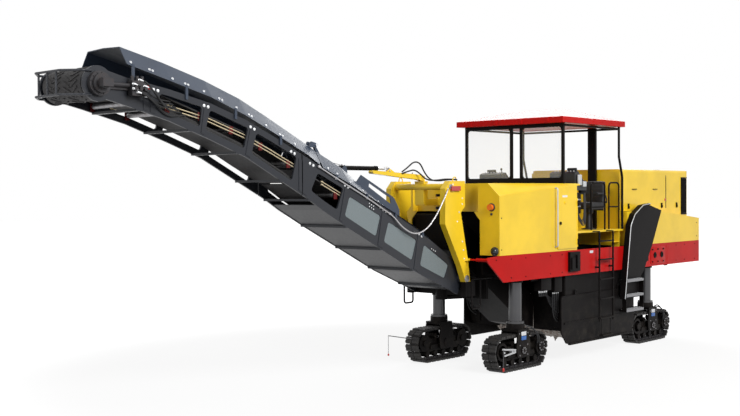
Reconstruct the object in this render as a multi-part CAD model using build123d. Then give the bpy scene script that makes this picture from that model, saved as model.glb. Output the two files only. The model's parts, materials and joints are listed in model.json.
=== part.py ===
from build123d import *
import math
import os

# Cold planer milling machine on four crawlers, millimetres.
# +X is the front, where the loading conveyor reaches out, +Y the machine's left, +Z up from the ground.
# X values below are measured from the front face of the yellow body; the last section moves
# everything so that the middle of the whole outline stands over the origin.

# Widths, from the milling drum outwards
drum_half_width = 1000
drum_side_gap = 85
housing_wall = 25
housing_half = drum_half_width + drum_side_gap + housing_wall
body_side_gap = 90
body_half_width = housing_half + body_side_gap
side_box_width = 140
hood_half_width = body_half_width - side_box_width
leg_inset = 320
leg_y = body_half_width - leg_inset
deck_half_width = body_half_width - 50
panel = 25
seam = 0.3

# Lengths, from the front legs backwards; the yellow body's front face is at zero
front_leg_x = -930
front_leg_to_housing = 1320
housing_front = front_leg_x - front_leg_to_housing
housing_length = 2200
housing_rear = housing_front - housing_length
housing_to_rear_leg = 1360
rear_leg_x = housing_rear - housing_to_rear_leg
rear_overhang = 1910
body_rear = rear_leg_x - rear_overhang
drum_x = (housing_front + housing_rear) / 2

# Heights of the body
band_bottom = 1630
band_top = 2100
body_top = 3360
nose_tip_x = 370
nose_tip_z = 2040

# Legs and crawlers
leg_radius = 118
leg_sleeve_wall = 26
leg_gap = 0.5
crawler_seat_z = 830
track_width = 300
track_end_x = 570
track_end_z = 370
track_end_radius = 235
track_ground_x = 600
track_ground_radius = 90
shoe_count = 26
shoe_pad = 45
shoe_gap = 12
shoe_taper = 10
chain_depth = 45

# Chassis
beam_inner = 560
beam_outer = 690
beam_bottom = 1640
beam_top = 2000
beam_front = -430
tie_front_x = front_leg_x - 820
tie_rear_x = body_rear + 480
tie_y = (beam_inner + beam_outer) / 2
tie_z = 1580
tie_radius = 28
tie_plate = 40
step_y = 770
step_radius = 16

# Milling drum
drum_radius = 430
pick_length = 90
pick_rows = 18
drum_shaft = 80
drum_clear = 190
drum_z = drum_radius + pick_length + drum_clear
housing_bottom = 560
housing_top = 1640
skid_bottom = 300
edge_plate_gap = 6
edge_plate = 30

# Feed conveyor
trough_half = 400
trough_wall = 15
feed_foot_z = 830
feed_head_x = 60
feed_head_z = 2230
feed_belt_radius = 110
feed_belt_thickness = 12

# Slewing gantry
slew_x = 80
recess_depth = 130
post_inner = 555
post_wall = 115
lock_x = 240
lock_z = 2030
lock_lug_y = 720
lock_gap = 33
lift_y = -110
lift_arm_x = 1450
lift_arm_z = 3612
lift_boom_x = 2560
lift_boom_z = 3612
lift_barrel = 850
lift_rod_radius = 20
lift_pin_radius = 20

# Loading conveyor
tilt_x = 240
tilt_z = 1700
tilt_pin = 45
fold_x = 3650
fold_z = 3935
split_x = 4060
fold_gap = 10
hinge_y = 330
hinge_width = 40
hinge_pin = 14
rail_y = 345
bay_corner = 45
belt_half_width = 430
frame_half_width = 500
conveyor_plate = 30
cover_half_width = 525
cover_crown = 360
cover_sheet = 12
head_x = 7600
head_z = 4585
head_radius = 190
belt_thickness = 20
belt_gap = 0.5
tail_x = 430
tail_z = 1655
tail_radius = 130
pulley_gap = 14.6
guard_reach = 420
guard_tube = 16
conveyor_reach = head_x + guard_reach
lamp_depth = 40

# Canopy and operator's stand
deck_front = housing_front - 280
deck_rear = housing_rear + 30
deck_z = 2450
deck_plate = 40
door_hinge_x = deck_front + 30
roof_front = deck_front + 560
roof_rear = deck_rear + 120
roof_half_width = body_half_width + 40
roof_low = 4500
roof_fascia = 110
roof_rise = 230
window_x = roof_front - 190
window_half = body_half_width - 50
window_bar = 50
sill = 110
post_radius = 24
rail_radius = 22
tunnel_half = 330
tunnel_top = 3180
window_corner = 60
windows = [(-window_half + window_bar, -65), (215, window_half - window_bar)]

# Engine hood and the boxes beside it
grille_half = 930
hood_front = housing_rear
hood_rear = body_rear + 1320
cowl_rear = body_rear + 320
hood_top = 3660
hood_lift = 8
hood_hinge_x = body_rear + 148
hood_hinge_z = 2650
side_box_top = 2790
slope_start = rear_leg_x + 10
ledge_top = 2600

front_face_x = (lamp_depth - body_rear - conveyor_reach) / 2


def block(x, y, z):
    """A box from three pairs of limits."""
    middle = Pos((x[0] + x[1]) / 2, (y[0] + y[1]) / 2, (z[0] + z[1]) / 2)
    return middle * Box(abs(x[1] - x[0]), abs(y[1] - y[0]), abs(z[1] - z[0]))


def side_plate(outline, y_from, y_to, corner=0):
    """A plate whose outline lies in X and Z, between two values of Y."""
    points = [(x, y_from, z) for x, z in outline]
    if corner:
        edge = FilletPolyline(*points, radius=corner, close=True)
    else:
        edge = Polyline(*points, close=True)
    return extrude(make_face(edge), amount=abs(y_to - y_from), dir=(0, math.copysign(1, y_to - y_from), 0))


def front_plate(outline, x_from, x_to):
    """A plate whose outline lies in Y and Z, between two values of X."""
    points = [(x_from, y, z) for y, z in outline]
    edge = Polyline(*points, close=True)
    return extrude(make_face(edge), amount=abs(x_to - x_from), dir=(math.copysign(1, x_to - x_from), 0, 0))


def floor_plate(outline, z_from, z_to):
    """A plate whose outline lies in X and Y, between two heights."""
    points = [(x, y, z_from) for x, y in outline]
    edge = Polyline(*points, close=True)
    return extrude(make_face(edge), amount=z_to - z_from, dir=(0, 0, 1))


def rod(start, end, radius):
    """A round bar between two points."""
    first = Vector(*start)
    along = Vector(*end) - first
    return Plane(first, z_dir=along) * Cylinder(
        radius, along.length, align=(Align.CENTER, Align.CENTER, Align.MIN)
    )


def bent_tube(points, radius, bend):
    """A round bar along straight runs joined by bends of one radius."""
    path = FilletPolyline(*points, radius=bend)
    section = Plane(path @ 0, z_dir=path % 0) * Circle(radius)
    return sweep(section, path=path)


def across(x, z, radius, y_from, y_to):
    """A round bar along Y."""
    return rod((x, y_from, z), (x, y_to, z), radius)


def both_sides(shape):
    """The shape and its twin on the other side of the machine."""
    return shape + mirror(shape, about=Plane.XZ)


def mirrored(shape):
    return mirror(shape, about=Plane.XZ)


# Conveyor section heights along its length: the bottom of the side frames, their top, the low edge
# and the crown of the arched cover, and the middle of the belt's carrying and return runs
belt_offset = belt_gap + belt_thickness / 2
conveyor_stations = [
    # x, bottom, frame_top, cover_low, cover_top, carry, back
    (280, 1420, 1930, 1931, 1995, 1730, 1500),
    (tail_x, 1480, 2050, 2051, 2115, tail_z + tail_radius + belt_offset, tail_z - tail_radius - belt_offset),
    (1370, 1850, 2590, 2591, 2655, 2270, 2005),
    (2000, 2150, 2880, 2881, 2945, 2581, 2315),
    (3060, 2653, 3350, 3351, 3605, 3105, 2825),
    (3620, 2935, 3580, 3581, 3850, 3375, 3110),
    (3930, 3113, 3725, 3760, 4000, 3524, 3290),
    (4660, 3470, 4040, 4085, 4340, 3851, 3640),
    (5170, 3720, 4245, 4300, 4565, 4080, 3895),
    (5800, 3940, 4440, 4520, 4775, 4269, 4110),
    (6500, 4165, 4585, 4695, 4960, 4480, 4335),
    (7180, 4330, 4690, 4860, 5110, 4670, 4450),
    (head_x, 4420, 4790, 4960, 5210, head_z + head_radius + belt_offset, head_z - head_radius - belt_offset),
]


def station(x):
    """The conveyor's heights at x, between the two nearest stations."""
    for low, high in zip(conveyor_stations, conveyor_stations[1:]):
        if low[0] <= x <= high[0]:
            share = (x - low[0]) / (high[0] - low[0])
            return [a + (b - a) * share for a, b in zip(low[1:], high[1:])]
    raise ValueError("x is outside the conveyor")


def strip(x_list, low, high, y_from, y_to):
    """A plate that follows the conveyor between two of its heights, given as functions of x."""
    outline = [(x, low(x)) for x in x_list] + [(x, high(x)) for x in reversed(x_list)]
    return side_plate(outline, y_from, y_to)


def bottom_at(x):
    return station(x)[0]


def frame_top_at(x):
    return station(x)[1]


def cover_low_at(x):
    return station(x)[2]


def cover_top_at(x):
    return station(x)[3]


def carry_at(x):
    return station(x)[4]


def back_at(x):
    return station(x)[5]


# Crawlers

def track_joints():
    """The chain's joint points in X and Z around the end wheels and the ground rollers."""
    rounds = []
    for side in (-1, 1):
        rounds.append(Pos(side * track_end_x, track_end_z) * Circle(track_end_radius))
        ground_z = track_ground_radius + shoe_pad
        rounds.append(Pos(side * track_ground_x, ground_z) * Circle(track_ground_radius))
    loop = make_hull([edge for item in rounds for edge in item.edges()]).face().outer_wire()
    step = loop.length / shoe_count
    spots = [loop.position_at(i * step, position_mode=PositionMode.LENGTH) for i in range(shoe_count)]
    turning = sum(a.X * b.Y - b.X * a.Y for a, b in zip(spots, spots[1:] + spots[:1]))
    return spots if turning > 0 else list(reversed(spots))


def make_track():
    """One closed loop of shoes with their pads, open inside."""
    spots = track_joints()
    outer = []
    inner = []
    for i, here in enumerate(spots):
        after = spots[(i + 1) % shoe_count]
        before = spots[i - 1]
        along = (after - here).normalized()
        out = Vector(along.Y, -along.X)
        back = (here - before).normalized()
        out_before = Vector(back.Y, -back.X)
        corner = (out + out_before).normalized()
        outer.append(here - corner * shoe_gap)
        outer.append(here + along * shoe_gap)
        outer.append(here + along * (shoe_gap + shoe_taper) + out * shoe_pad)
        outer.append(after - along * (shoe_gap + shoe_taper) + out * shoe_pad)
        outer.append(after - along * shoe_gap)
        inner.append(here - corner * (chain_depth + shoe_gap))
    half = track_width / 2
    loop = side_plate([(p.X, p.Y) for p in outer], -half, half)
    hole = side_plate([(p.X, p.Y) for p in inner], -half - 1, half + 1)
    return loop - hole


def make_crawler():
    """Frame, wheels, drive motor and the yoke that carries the leg, in the left crawler's own place."""
    link = 2 * math.pi * track_end_radius / 9
    wheel_radius = track_end_radius - chain_depth - shoe_gap - link * link / (8 * track_end_radius) - 3.2
    roller_radius = track_ground_radius - chain_depth - shoe_gap + 22
    roller_z = shoe_pad + chain_depth + shoe_gap + roller_radius + seam
    half = track_width / 2
    beam = block((-track_end_x + 40, track_end_x - 40), (-95, 95), (roller_z + 40, track_end_z + 70))
    crawler = beam
    for side in (-1, 1):
        wheel = across(side * track_end_x, track_end_z, wheel_radius, -120, 120)
        wheel -= across(side * track_end_x, track_end_z, wheel_radius - 45, 60, 121)
        crawler += wheel
        crawler += across(side * track_end_x, track_end_z, 60, -half + 8, half - 8)
    for i in range(5):
        x = -track_ground_x * 0.8 + i * track_ground_x * 0.4
        crawler += across(x, roller_z, roller_radius, -110, 110)
    top_roller_z = track_end_z + track_end_radius - chain_depth - shoe_gap - 62
    for x in (-230, 230):
        crawler += across(x, top_roller_z, 46, -100, 100)
        crawler += block((x - 25, x + 25), (-60, 60), (track_end_z + 60, top_roller_z))
    # drive motor on the rear wheel and the round idler cap in front, both on the outer side
    crawler += across(-track_end_x, track_end_z, 150, 60, half + 25)
    crawler += across(-track_end_x, track_end_z, 95, half + 20, half + 48)
    crawler += across(track_end_x, track_end_z, 70, 60, half + 12)
    # five bolt heads round the drive motor, and the guard between the wheels
    knob_circle = 122
    for i in range(5):
        angle = math.radians(72 * i + 18)
        x = -track_end_x + knob_circle * math.cos(angle)
        crawler += across(x, track_end_z + knob_circle * math.sin(angle), 13, half + 20, half + 34)
    guard = [(-430, 255), (430, 255), (400, 330), (-400, 330)]
    crawler += both_sides(side_plate(guard, 94, half - 12))
    # yoke: two side plates joined over the top run, on a cross shaft through the beam
    outline = [(-190, 230), (190, 230), (215, 420), (170, 700), (-170, 700), (-215, 420)]
    inner = half + 10
    outer = half + 35
    for y_from, y_to in ((inner, outer), (-inner, -outer)):
        crawler += side_plate(outline, y_from, y_to, corner=40)
    crawler += block((-170, 170), (-outer, outer), (690, 735))
    crawler += across(0, 350, 75, -outer - 12, outer + 12)
    crawler += rod((0, 0, 735), (0, 0, crawler_seat_z), 165)
    return crawler


def make_leg():
    """Lift column: the inner tube with the flange that the crawler turns under."""
    top = band_bottom + 330
    column = rod((0, 0, crawler_seat_z + leg_gap), (0, 0, top), leg_radius)
    flange = rod((0, 0, crawler_seat_z + leg_gap), (0, 0, crawler_seat_z + 40), 160)
    return column + flange


# Chassis

# Plates of the two slew brackets
slew_plates = [
    # root_x, z, thickness, half width at the root, half width at the pin, radius
    (beam_front + 30 + seam, 1290, 50, 300, 130, 130),
    (beam_front + 30 + seam, 1560, 50, 300, 130, 130),
    (-recess_depth + seam, 2900, 45, 260, 110, 110),
    (-recess_depth + seam, 3130, 45, 260, 110, 110),
]
bay_back = -780


def make_main_frame():
    """Long beams, cross plates, leg sleeves, the front bay's lining and both slew brackets."""
    frame = both_sides(block((body_rear + 60, beam_front), (beam_inner, beam_outer), (beam_bottom, beam_top)))
    cross_plates = (beam_front, front_leg_x - 550, rear_leg_x + 860, rear_leg_x - 290, body_rear + 420)
    for x in cross_plates:
        frame += both_sides(block((x - 25, x + 25), (trough_half + seam, deck_half_width), (1650, 2060)))
    frame += block((body_rear + 60, body_rear + 110), (-deck_half_width, deck_half_width), (1660, 2060))
    frame += block((rear_leg_x - 790, rear_leg_x - 690), (-beam_inner, beam_inner), (1660, 1960))
    for x in (front_leg_x, rear_leg_x):
        sleeve = rod((x, leg_y, band_bottom - 60), (x, leg_y, 2560), leg_radius + leg_sleeve_wall)
        sleeve += block((x - 330, x + 330), (leg_y - 280, deck_half_width), (1700, 1740))
        sleeve += block((x - 330, x + 330), (leg_y - 280, deck_half_width), (1980, 2020))
        bore = rod((x, leg_y, band_bottom - 61), (x, leg_y, 2530), leg_radius + leg_gap)
        frame += both_sides(sleeve)
        frame -= both_sides(bore)
    # black lining of the front bay
    frame += both_sides(block((bay_back, -panel - seam), (795, 815), (1760, 2850)))
    frame += both_sides(block((bay_back - 20, bay_back), (trough_half + trough_wall, 815), (2010, 2850)))
    frame += block((bay_back - 20, bay_back), (-trough_half - trough_wall, trough_half + trough_wall), (2240, 2850))
    frame += block((beam_front - 30, beam_front + 30), (-beam_inner - 60, beam_inner + 60), (1290, 1660))
    # tie-down eyes under the long beams
    for x in (tie_front_x, tie_rear_x):
        eye = side_plate([(x - 90, 1645), (x - 50, 1530), (x + 50, 1530), (x + 90, 1645)], tie_y - tie_plate / 2, tie_y + tie_plate / 2)
        frame += both_sides(eye - across(x, tie_z, tie_radius, tie_y - 21, tie_y + 21))
    return frame


def make_slew_brackets():
    """Black tongues that carry the gantry: two ears round its lower beam, two round its hub above."""
    brackets = None
    for root, z, thick, wide, tip, radius in slew_plates:
        plate = floor_plate([(root, -wide), (slew_x, -tip), (slew_x, tip), (root, wide)], z, z + thick)
        plate += Pos(slew_x, 0, z + thick / 2) * Cylinder(radius, thick)
        brackets = plate if brackets is None else brackets + plate
    return brackets


def make_nose_step():
    """Step loop under the nose, hung from the front cross plate outside the gantry's swing."""
    path = [(beam_front, step_y, 1690), (225, step_y, 1690), (225, step_y, 1175), (-20, step_y, 1175),
            (-20, step_y, 1690)]
    return both_sides(bent_tube(path, step_radius, 50))


def make_side_bands():
    """Red lower side panels with the slew cylinders' lugs at the front."""
    outline = [
        (body_rear, band_bottom),
        (-120, band_bottom),
        (nose_tip_x - 40, nose_tip_z - 50),
        (nose_tip_x, nose_tip_z),
        (nose_tip_x - 20, nose_tip_z + 40),
        (seam, band_top),
        (body_rear, band_top),
    ]
    band = side_plate(outline, body_half_width - panel, body_half_width)
    band += block((body_rear, body_rear + panel), (0, body_half_width), (band_bottom, band_top))
    # lock cylinder across the nose, its pin drawn back from the gantry's lug
    band += rod((lock_x, body_half_width - panel, lock_z), (lock_x, 890, lock_z), 30)
    band += rod((lock_x, 890, lock_z), (lock_x, lock_lug_y + lock_gap, lock_z), 17)
    return both_sides(band)


def make_front_housing():
    """Yellow body over the front legs: a shell with a chamfered nose and the conveyor's bay cut in."""
    half = body_half_width
    edge = 250
    side = [(deck_front, band_top + seam), (0, band_top + seam), (0, body_top), (deck_front, body_top)]
    shell = side_plate(side, -half, half)
    shell -= block((deck_front + panel, -panel), (-half + panel, half - panel), (band_top - 1, body_top - panel))
    # the long facet along each top edge
    for sign in (-1, 1):
        corner = Polyline(
            (1, sign * (half + 1), body_top - 230),
            (1, sign * (half - edge), body_top + 1),
            (1, sign * (half + 1), body_top + 1),
            close=True,
        )
        tip = Polyline(
            (deck_front - 1, sign * (half + 1), body_top - 30),
            (deck_front - 1, sign * (half - 30), body_top + 1),
            (deck_front - 1, sign * (half + 1), body_top + 1),
            close=True,
        )
        shell -= loft([make_face(corner), make_face(tip)])
    opening = [
        (-665, 2860), (-665, 2845), (-780, 2710), (-780, 2080), (-900, 1700),
        (900, 1700), (780, 2080), (780, 2710), (665, 2845), (665, 2860),
    ]
    shell -= front_plate(opening, -panel - 1, 1)
    # recess over the bay, for the gantry's posts as they slew
    back = -recess_depth
    shell -= block((back, 1), (-740, 740), (2860, body_top + 1))
    shell += block((back - panel, back), (-765, 765), (2860, body_top - 1))
    shell += both_sides(block((back, -10), (740, 765), (2860, body_top - 1)))
    return shell


def make_service_door():
    """Left service door behind the grab bar, with its lock."""
    outer = body_half_width + 21
    door = block((door_hinge_x + 10, -1830), (body_half_width + seam, outer), (2140, 3100))
    door += across(-2090, 3000, 32, outer - 1, outer + 14)
    door += rod((door_hinge_x, outer, 2160), (door_hinge_x, outer, 3080), 12)
    return door


def make_grab_bars():
    x = -1760
    y = body_half_width
    path = [(x, y, 2190), (x, y + 60, 2190), (x, y + 60, 3270), (x, y, 3270)]
    return both_sides(bent_tube(path, 15, 30))


def box_top(x):
    """Top of the side boxes beside the engine hood, sloping down towards the rear."""
    if x >= slope_start:
        return side_box_top
    return side_box_top - (slope_start - x) * (side_box_top - ledge_top) / (slope_start - body_rear)


def make_rear_boxes():
    """Yellow lower boxes at both sides of the engine and the ledge across the rear."""
    low = band_top + seam
    inner = hood_half_width - panel
    xs = [hood_front, slope_start, body_rear]
    outline = [(body_rear, low), (hood_front, low)] + [(x, box_top(x)) for x in xs]
    box = side_plate(outline, inner, body_half_width)
    inside = [(body_rear + panel, band_top - 1), (hood_front - panel, band_top - 1)]
    inside += [(hood_front - panel, side_box_top - panel), (slope_start, side_box_top - panel),
               (body_rear + panel, ledge_top - panel)]
    box -= side_plate(inside, inner - 1, body_half_width - panel)
    boxes = both_sides(box)
    boxes += block((body_rear, body_rear + panel), (-body_half_width, body_half_width), (low, ledge_top))
    boxes += block((body_rear, cowl_rear + 20), (-inner, inner), (ledge_top - panel, ledge_top))
    # hinge ears of the hood
    for y in (-700, 700):
        for side in (-1, 1):
            ear = [(hood_hinge_x - 45, ledge_top - 5), (hood_hinge_x + 20, ledge_top - 5),
                   (hood_hinge_x + 20, hood_hinge_z), (hood_hinge_x, hood_hinge_z + 20),
                   (hood_hinge_x - 20, hood_hinge_z)]
            boxes += side_plate(ear, y + side * 45, y + side * 60)
        boxes += across(hood_hinge_x, hood_hinge_z, 12, y - 58, y + 58)
    return boxes


def hood_shell(x_from, x_to):
    """A length of the hood: roof and both side walls, open below and at both ends."""
    half = hood_half_width
    xs = [x for x in (x_to, slope_start, x_from) if x_from <= x <= x_to]
    outline = [(x, box_top(x) + hood_lift) for x in xs] + [(x_from, hood_top), (x_to, hood_top)]
    shell = side_plate(outline, -half, half)
    shell = fillet(shell.edges().filter_by(Axis.X).group_by(Axis.Z)[-1], 60)
    return shell - block((x_from - 1, x_to + 1), (-half + panel, half - panel), (0, hood_top - panel))


def make_rear_cowl():
    """Rear length of the hood, round the radiator."""
    cowl = hood_shell(cowl_rear, hood_rear - seam)
    frame = block((cowl_rear, cowl_rear + panel), (-hood_half_width + 1, hood_half_width - 1), (box_top(cowl_rear) + 12, hood_top - 10))
    frame -= block((cowl_rear - 1, cowl_rear + panel + 1), (-grille_half, grille_half), (2680, 3500))
    return cowl + frame


def make_rear_grille():
    """Black louvred radiator grille across the back of the hood, with the hood's hinge knuckles."""
    back = cowl_rear - 140
    frame = block((back, cowl_rear - seam), (-grille_half - 60, grille_half + 60), (ledge_top + 20, 3560))
    frame -= block((back - 1, cowl_rear + 1), (-grille_half, grille_half), (2680, 3500))
    for i in range(14):
        z = 2715 + i * 58
        frame += Pos(cowl_rear - 70, 0, z) * Rot(0, 35, 0) * Box(90, 2 * grille_half + 4, 8)
    frame += both_sides(block((cowl_rear - 100, cowl_rear - 40), (300, 330), (2660, 3520)))
    for y in (-700, 700):
        knuckle = across(hood_hinge_x, hood_hinge_z, 20, y - 44, y + 44)
        knuckle += block((hood_hinge_x, back + 1), (y - 44, y + 44), (hood_hinge_z - 12, hood_hinge_z + 12))
        frame += knuckle - across(hood_hinge_x, hood_hinge_z, 12 + seam, y - 45, y + 45)
    return frame


def make_engine_hood():
    """Front length of the yellow hood over the engine."""
    hood = hood_shell(hood_rear, hood_front)
    return hood + block((hood_front - panel, hood_front), (-hood_half_width + 1, hood_half_width - 1),
                        (side_box_top + hood_lift, hood_top - 10))


def make_engine():
    return block((-6250, -4700), (-480, 480), (2060 + seam, 3150))


def make_operator_deck():
    """Raised floor between the front housing and the engine hood, with its yellow inner walls."""
    half = deck_half_width
    front = deck_front - 2
    wall = 20
    under = deck_z - deck_plate
    floor_rear = deck_rear + wall + seam
    deck = block((floor_rear, front), (-half, half), (under, deck_z))
    deck += block((deck_rear, deck_rear + wall), (-hood_half_width, hood_half_width), (band_top, hood_top - 60))
    deck += block((front - wall, front), (-half, half), (band_top, under - seam))
    deck += block((floor_rear, front), (-tunnel_half, tunnel_half), (deck_z + seam, tunnel_top))
    # folded steps down to the ladder at both sides, on a riser under the floor
    tread_inner = body_half_width - panel - 200
    tread_x = deck_rear + 330
    steps = block((tread_x - 135, tread_x - 120), (tread_inner, half), (1845, under - seam))
    for z in (2200, 1860):
        steps += block((tread_x - 130, tread_x + 130), (tread_inner, half), (z - 15, z))
    return deck + both_sides(steps)


def make_rails():
    """Black tube rails at both open sides of the stand."""
    y = deck_half_width - 30
    loops = [
        [(deck_front - 650, y, deck_z), (deck_front - 650, y, 3380), (deck_front - 1170, y, 3380), (deck_front - 1170, y, deck_z)],
        [(deck_front - 1330, y, deck_z), (deck_front - 1330, y, 3380), (deck_front - 1730, y, 3380), (deck_front - 1730, y, deck_z)],
    ]
    rails = None
    for path in loops:
        bar = bent_tube(path, 17, 90)
        rails = bar if rails is None else rails + bar
    rails += rod((deck_front - 650, y, 2900), (deck_front - 1170, y, 2900), 14)
    rails += rod((deck_front - 1330, y, 2900), (deck_front - 1730, y, 2900), 14)
    return both_sides(rails)


def make_consoles():
    """A control console at each front corner of the stand, with its stick and switch panel."""
    x = deck_front
    stand = block((x - 230, x - 70), (700, 1000), (deck_z, 3250))
    outline = [(x - 480, 3230), (x - 50, 3230), (x - 50, 3560), (x - 170, 3600), (x - 480, 3330)]
    desk = side_plate(outline, 560, 1120, corner=20)
    desk += rod((x - 410, 850, 3330), (x - 430, 850, 3480), 14)
    desk += Pos(x - 430, 850, 3490) * Sphere(26)
    for y in (650, 740, 1000):
        desk += Pos(x - 320, y, 3455) * Rot(0, -41, 0) * Box(120, 60, 24)
    return both_sides(stand + desk)


def make_seats():
    """Seat with a bucketed cushion, a reclined back, armrests and its pedestal."""
    x = deck_front - 890
    cushion = [(x, 2880), (x, 2970), (x - 60, 3000), (x - 440, 2960), (x - 480, 2900), (x - 440, 2860)]
    seat = side_plate(cushion, 560, 1010, corner=20)
    back = [(x - 400, 2950), (x - 440, 3100), (x - 500, 3440), (x - 560, 3440), (x - 560, 3380), (x - 490, 2900)]
    seat += side_plate(back, 570, 1000, corner=18)
    for y in (545, 990):
        arm = [(x - 470, 3130), (x - 120, 3150), (x - 120, 3190), (x - 470, 3180)]
        seat += side_plate(arm, y, y + 35, corner=10)
    seat += rod((x - 240, 785, deck_z), (x - 240, 785, 2890), 60)
    seat += rod((x - 240, 785, deck_z), (x - 240, 785, deck_z + 40), 150)
    return both_sides(seat)


def window_opening(y_low, y_high, inset):
    """Outline of one front window with rounded corners, across the machine."""
    low = body_top + seam + sill + inset
    high = roof_low - 70 - inset
    place = Plane((window_x, (y_low + y_high) / 2, (low + high) / 2), x_dir=(0, 1, 0), z_dir=(1, 0, 0))
    return place * RectangleRounded(y_high - y_low - 2 * inset, high - low, window_corner)


def make_canopy_frame():
    """Posts and the front window frame with its double middle post."""
    foot = body_top + seam
    half_bar = window_bar / 2
    parts = block((window_x - half_bar, window_x + half_bar), (-window_half, window_half), (foot, roof_low - seam))
    for y_low, y_high in windows:
        parts -= extrude(window_opening(y_low, y_high, 0), amount=window_bar, both=True)
    slot_low, slot_high = (windows[0][1] + window_bar, windows[1][0] - window_bar)
    parts -= block((window_x - window_bar, window_x + window_bar), (slot_low, slot_high), (foot + sill, roof_low - 70))
    # bent rear posts, with the roof rails that end against them
    rear_x = roof_rear + 90
    rail_z = roof_low - 40
    stop = post_radius + seam
    for y in (-window_half, window_half):
        path = [(rear_x - 130, y, deck_z), (rear_x - 130, y, 3500), (rear_x, y, 3900), (rear_x, y, roof_low - seam)]
        parts += bent_tube(path, post_radius, 100)
        parts += rod((window_x - half_bar - seam, y, rail_z), (rear_x + stop, y, rail_z), rail_radius)
    parts += rod((rear_x, stop - window_half, rail_z), (rear_x, window_half - stop, rail_z), rail_radius)
    parts += block((roof_rear - 40, roof_rear + 20), (390, 570), (deck_z + seam, roof_low - seam))
    return parts


def make_canopy_glass():
    panes = None
    for y_low, y_high in windows:
        pane = extrude(window_opening(y_low, y_high, seam), amount=4, both=True)
        panes = pane if panes is None else panes + pane
    return panes


def make_canopy_roof():
    """Red roof, hipped from a flat fascia to a short ridge, hollow below."""
    middle = (roof_front + roof_rear) / 2
    length = roof_front - roof_rear
    eaves = Pos(middle, 0, roof_low + roof_fascia) * Rectangle(length, 2 * roof_half_width)
    ridge = Pos(middle - 120, 0, roof_low + roof_fascia + roof_rise) * Rectangle(300, 900)
    roof = loft([eaves, ridge])
    roof += block((roof_rear, roof_front), (-roof_half_width, roof_half_width), (roof_low, roof_low + roof_fascia))
    inner = 20
    roof -= block(
        (roof_rear + inner, roof_front - inner),
        (-roof_half_width + inner, roof_half_width - inner),
        (roof_low + 20, roof_low + roof_fascia - 10),
    )
    for y in (-900, -300, 300, 900):
        roof += block((roof_front - 1, roof_front + 8), (y - 30, y + 30), (roof_low + 12, roof_low + roof_fascia - 12))
    return roof


# Milling drum and its housing

def make_drum():
    """Drum with picks in two helices that meet in the middle and throw the millings inward."""
    drum = across(drum_x, drum_z, drum_radius, -drum_half_width, drum_half_width)
    drum += across(drum_x, drum_z, drum_shaft, -drum_half_width - 80, drum_half_width + 80)
    # a four-sided pick holder leans with the cut, its pointed pick stands out of it
    root = drum_radius - 8
    holder = loft([Pos(0, 0, root) * Rectangle(84, 50), Pos(16, 0, root + 52) * Rectangle(44, 38)])
    pick = loft([Pos(14, 0, root + 50) * Rectangle(30, 30), Pos(24, 0, drum_radius + pick_length) * Rectangle(7, 7)])
    tool = holder + pick
    for side in (-1, 1):
        for i in range(pick_rows):
            y = side * (drum_half_width - 40 - i * (drum_half_width - 65) / pick_rows)
            drum += Pos(drum_x, y, drum_z) * Rot(0, i * 40, 0) * tool
    return drum


def make_drum_housing():
    """Black box over the drum, open below, with end walls that carry the drum's bearings."""
    half = housing_half
    inner = half - housing_wall
    box = block((housing_rear, housing_front), (-half, half), (housing_bottom, housing_top))
    box -= block((housing_rear + 20, housing_front - 20), (-inner, inner), (housing_bottom - 1, housing_top - 40))
    window = block((housing_front - 21, housing_front + 1), (-trough_half, trough_half), (housing_bottom - 1, 1250))
    box -= window
    boss = across(drum_x, drum_z, 190, drum_half_width + 6, half)
    boss -= across(drum_x, drum_z, drum_shaft + seam, drum_half_width + 5, drum_half_width + 82)
    box += both_sides(boss)
    return box


def make_edge_plate():
    """Left edge protector that rides on the road beside the drum."""
    inner = housing_half + edge_plate_gap
    rear = housing_rear - 370
    front = housing_front + 190
    outline = [(rear + 120, 330), (rear, 520), (rear, 1240), (front, 1240), (front, 560), (front - 190, 330)]
    plate = side_plate(outline, inner, inner + edge_plate, corner=60)
    plate += block((rear + 260, front - 270), (inner, inner + 50), (skid_bottom, 335))
    # guide strips that slide on the housing's end wall, and the stiffening rib with two lifting lugs
    for x in (housing_rear + 250, housing_front - 350):
        plate += block((x - 30, x + 30), (housing_half + seam, inner + 1), (570, 1230))
        lug = side_plate([(x - 60, 1230), (x + 60, 1230), (x + 35, 1330), (x - 35, 1330)], inner + 8, inner + 22)
        plate += lug - across(x, 1290, 16, inner, inner + 30)
    plate += block((rear + 100, front - 100), (inner + edge_plate - 1, inner + edge_plate + 14), (700, 740))
    return plate


def make_scraper():
    """Rear moldboard behind the drum."""
    half = housing_half - 50
    blade = block((housing_rear - 60, housing_rear - 6), (-half, half), (skid_bottom + 30, 1250))
    blade += block((housing_rear - 100, housing_rear - 6), (-half, half), (skid_bottom, skid_bottom + 60))
    for y in (-700, 0, 700):
        blade += block((housing_rear - 100, housing_rear - 59), (y - 12, y + 12), (skid_bottom + 50, 1150))
    # guide strips that slide on the housing
    blade += both_sides(block((housing_rear - 7, housing_rear - seam), (680, 730), (housing_bottom + 10, 1240)))
    return blade


def make_feed_frame():
    """Trough of the feed conveyor from the drum housing up to the front bay."""
    foot = housing_front + 20
    wall = [(foot, 620), (foot, 1200), (160, 2820), (330, 2820), (330, 2130), (-60, 1960), (foot + 330, 700)]
    trough = both_sides(side_plate(wall, trough_half - trough_wall, trough_half))
    bottom = [(foot, 600), (foot + 330, 680), (-60, 1940), (-60, 1960), (foot + 330, 700), (foot, 620)]
    trough += side_plate(bottom, -trough_half, trough_half)
    hood = [(-500, 2373), (160, 2820), (330, 2820), (345, 2800), (345, 2200), (330, 2200), (330, 2805),
            (165, 2805), (-500, 2355)]
    trough += side_plate(hood, -trough_half, trough_half)
    return trough


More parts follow.
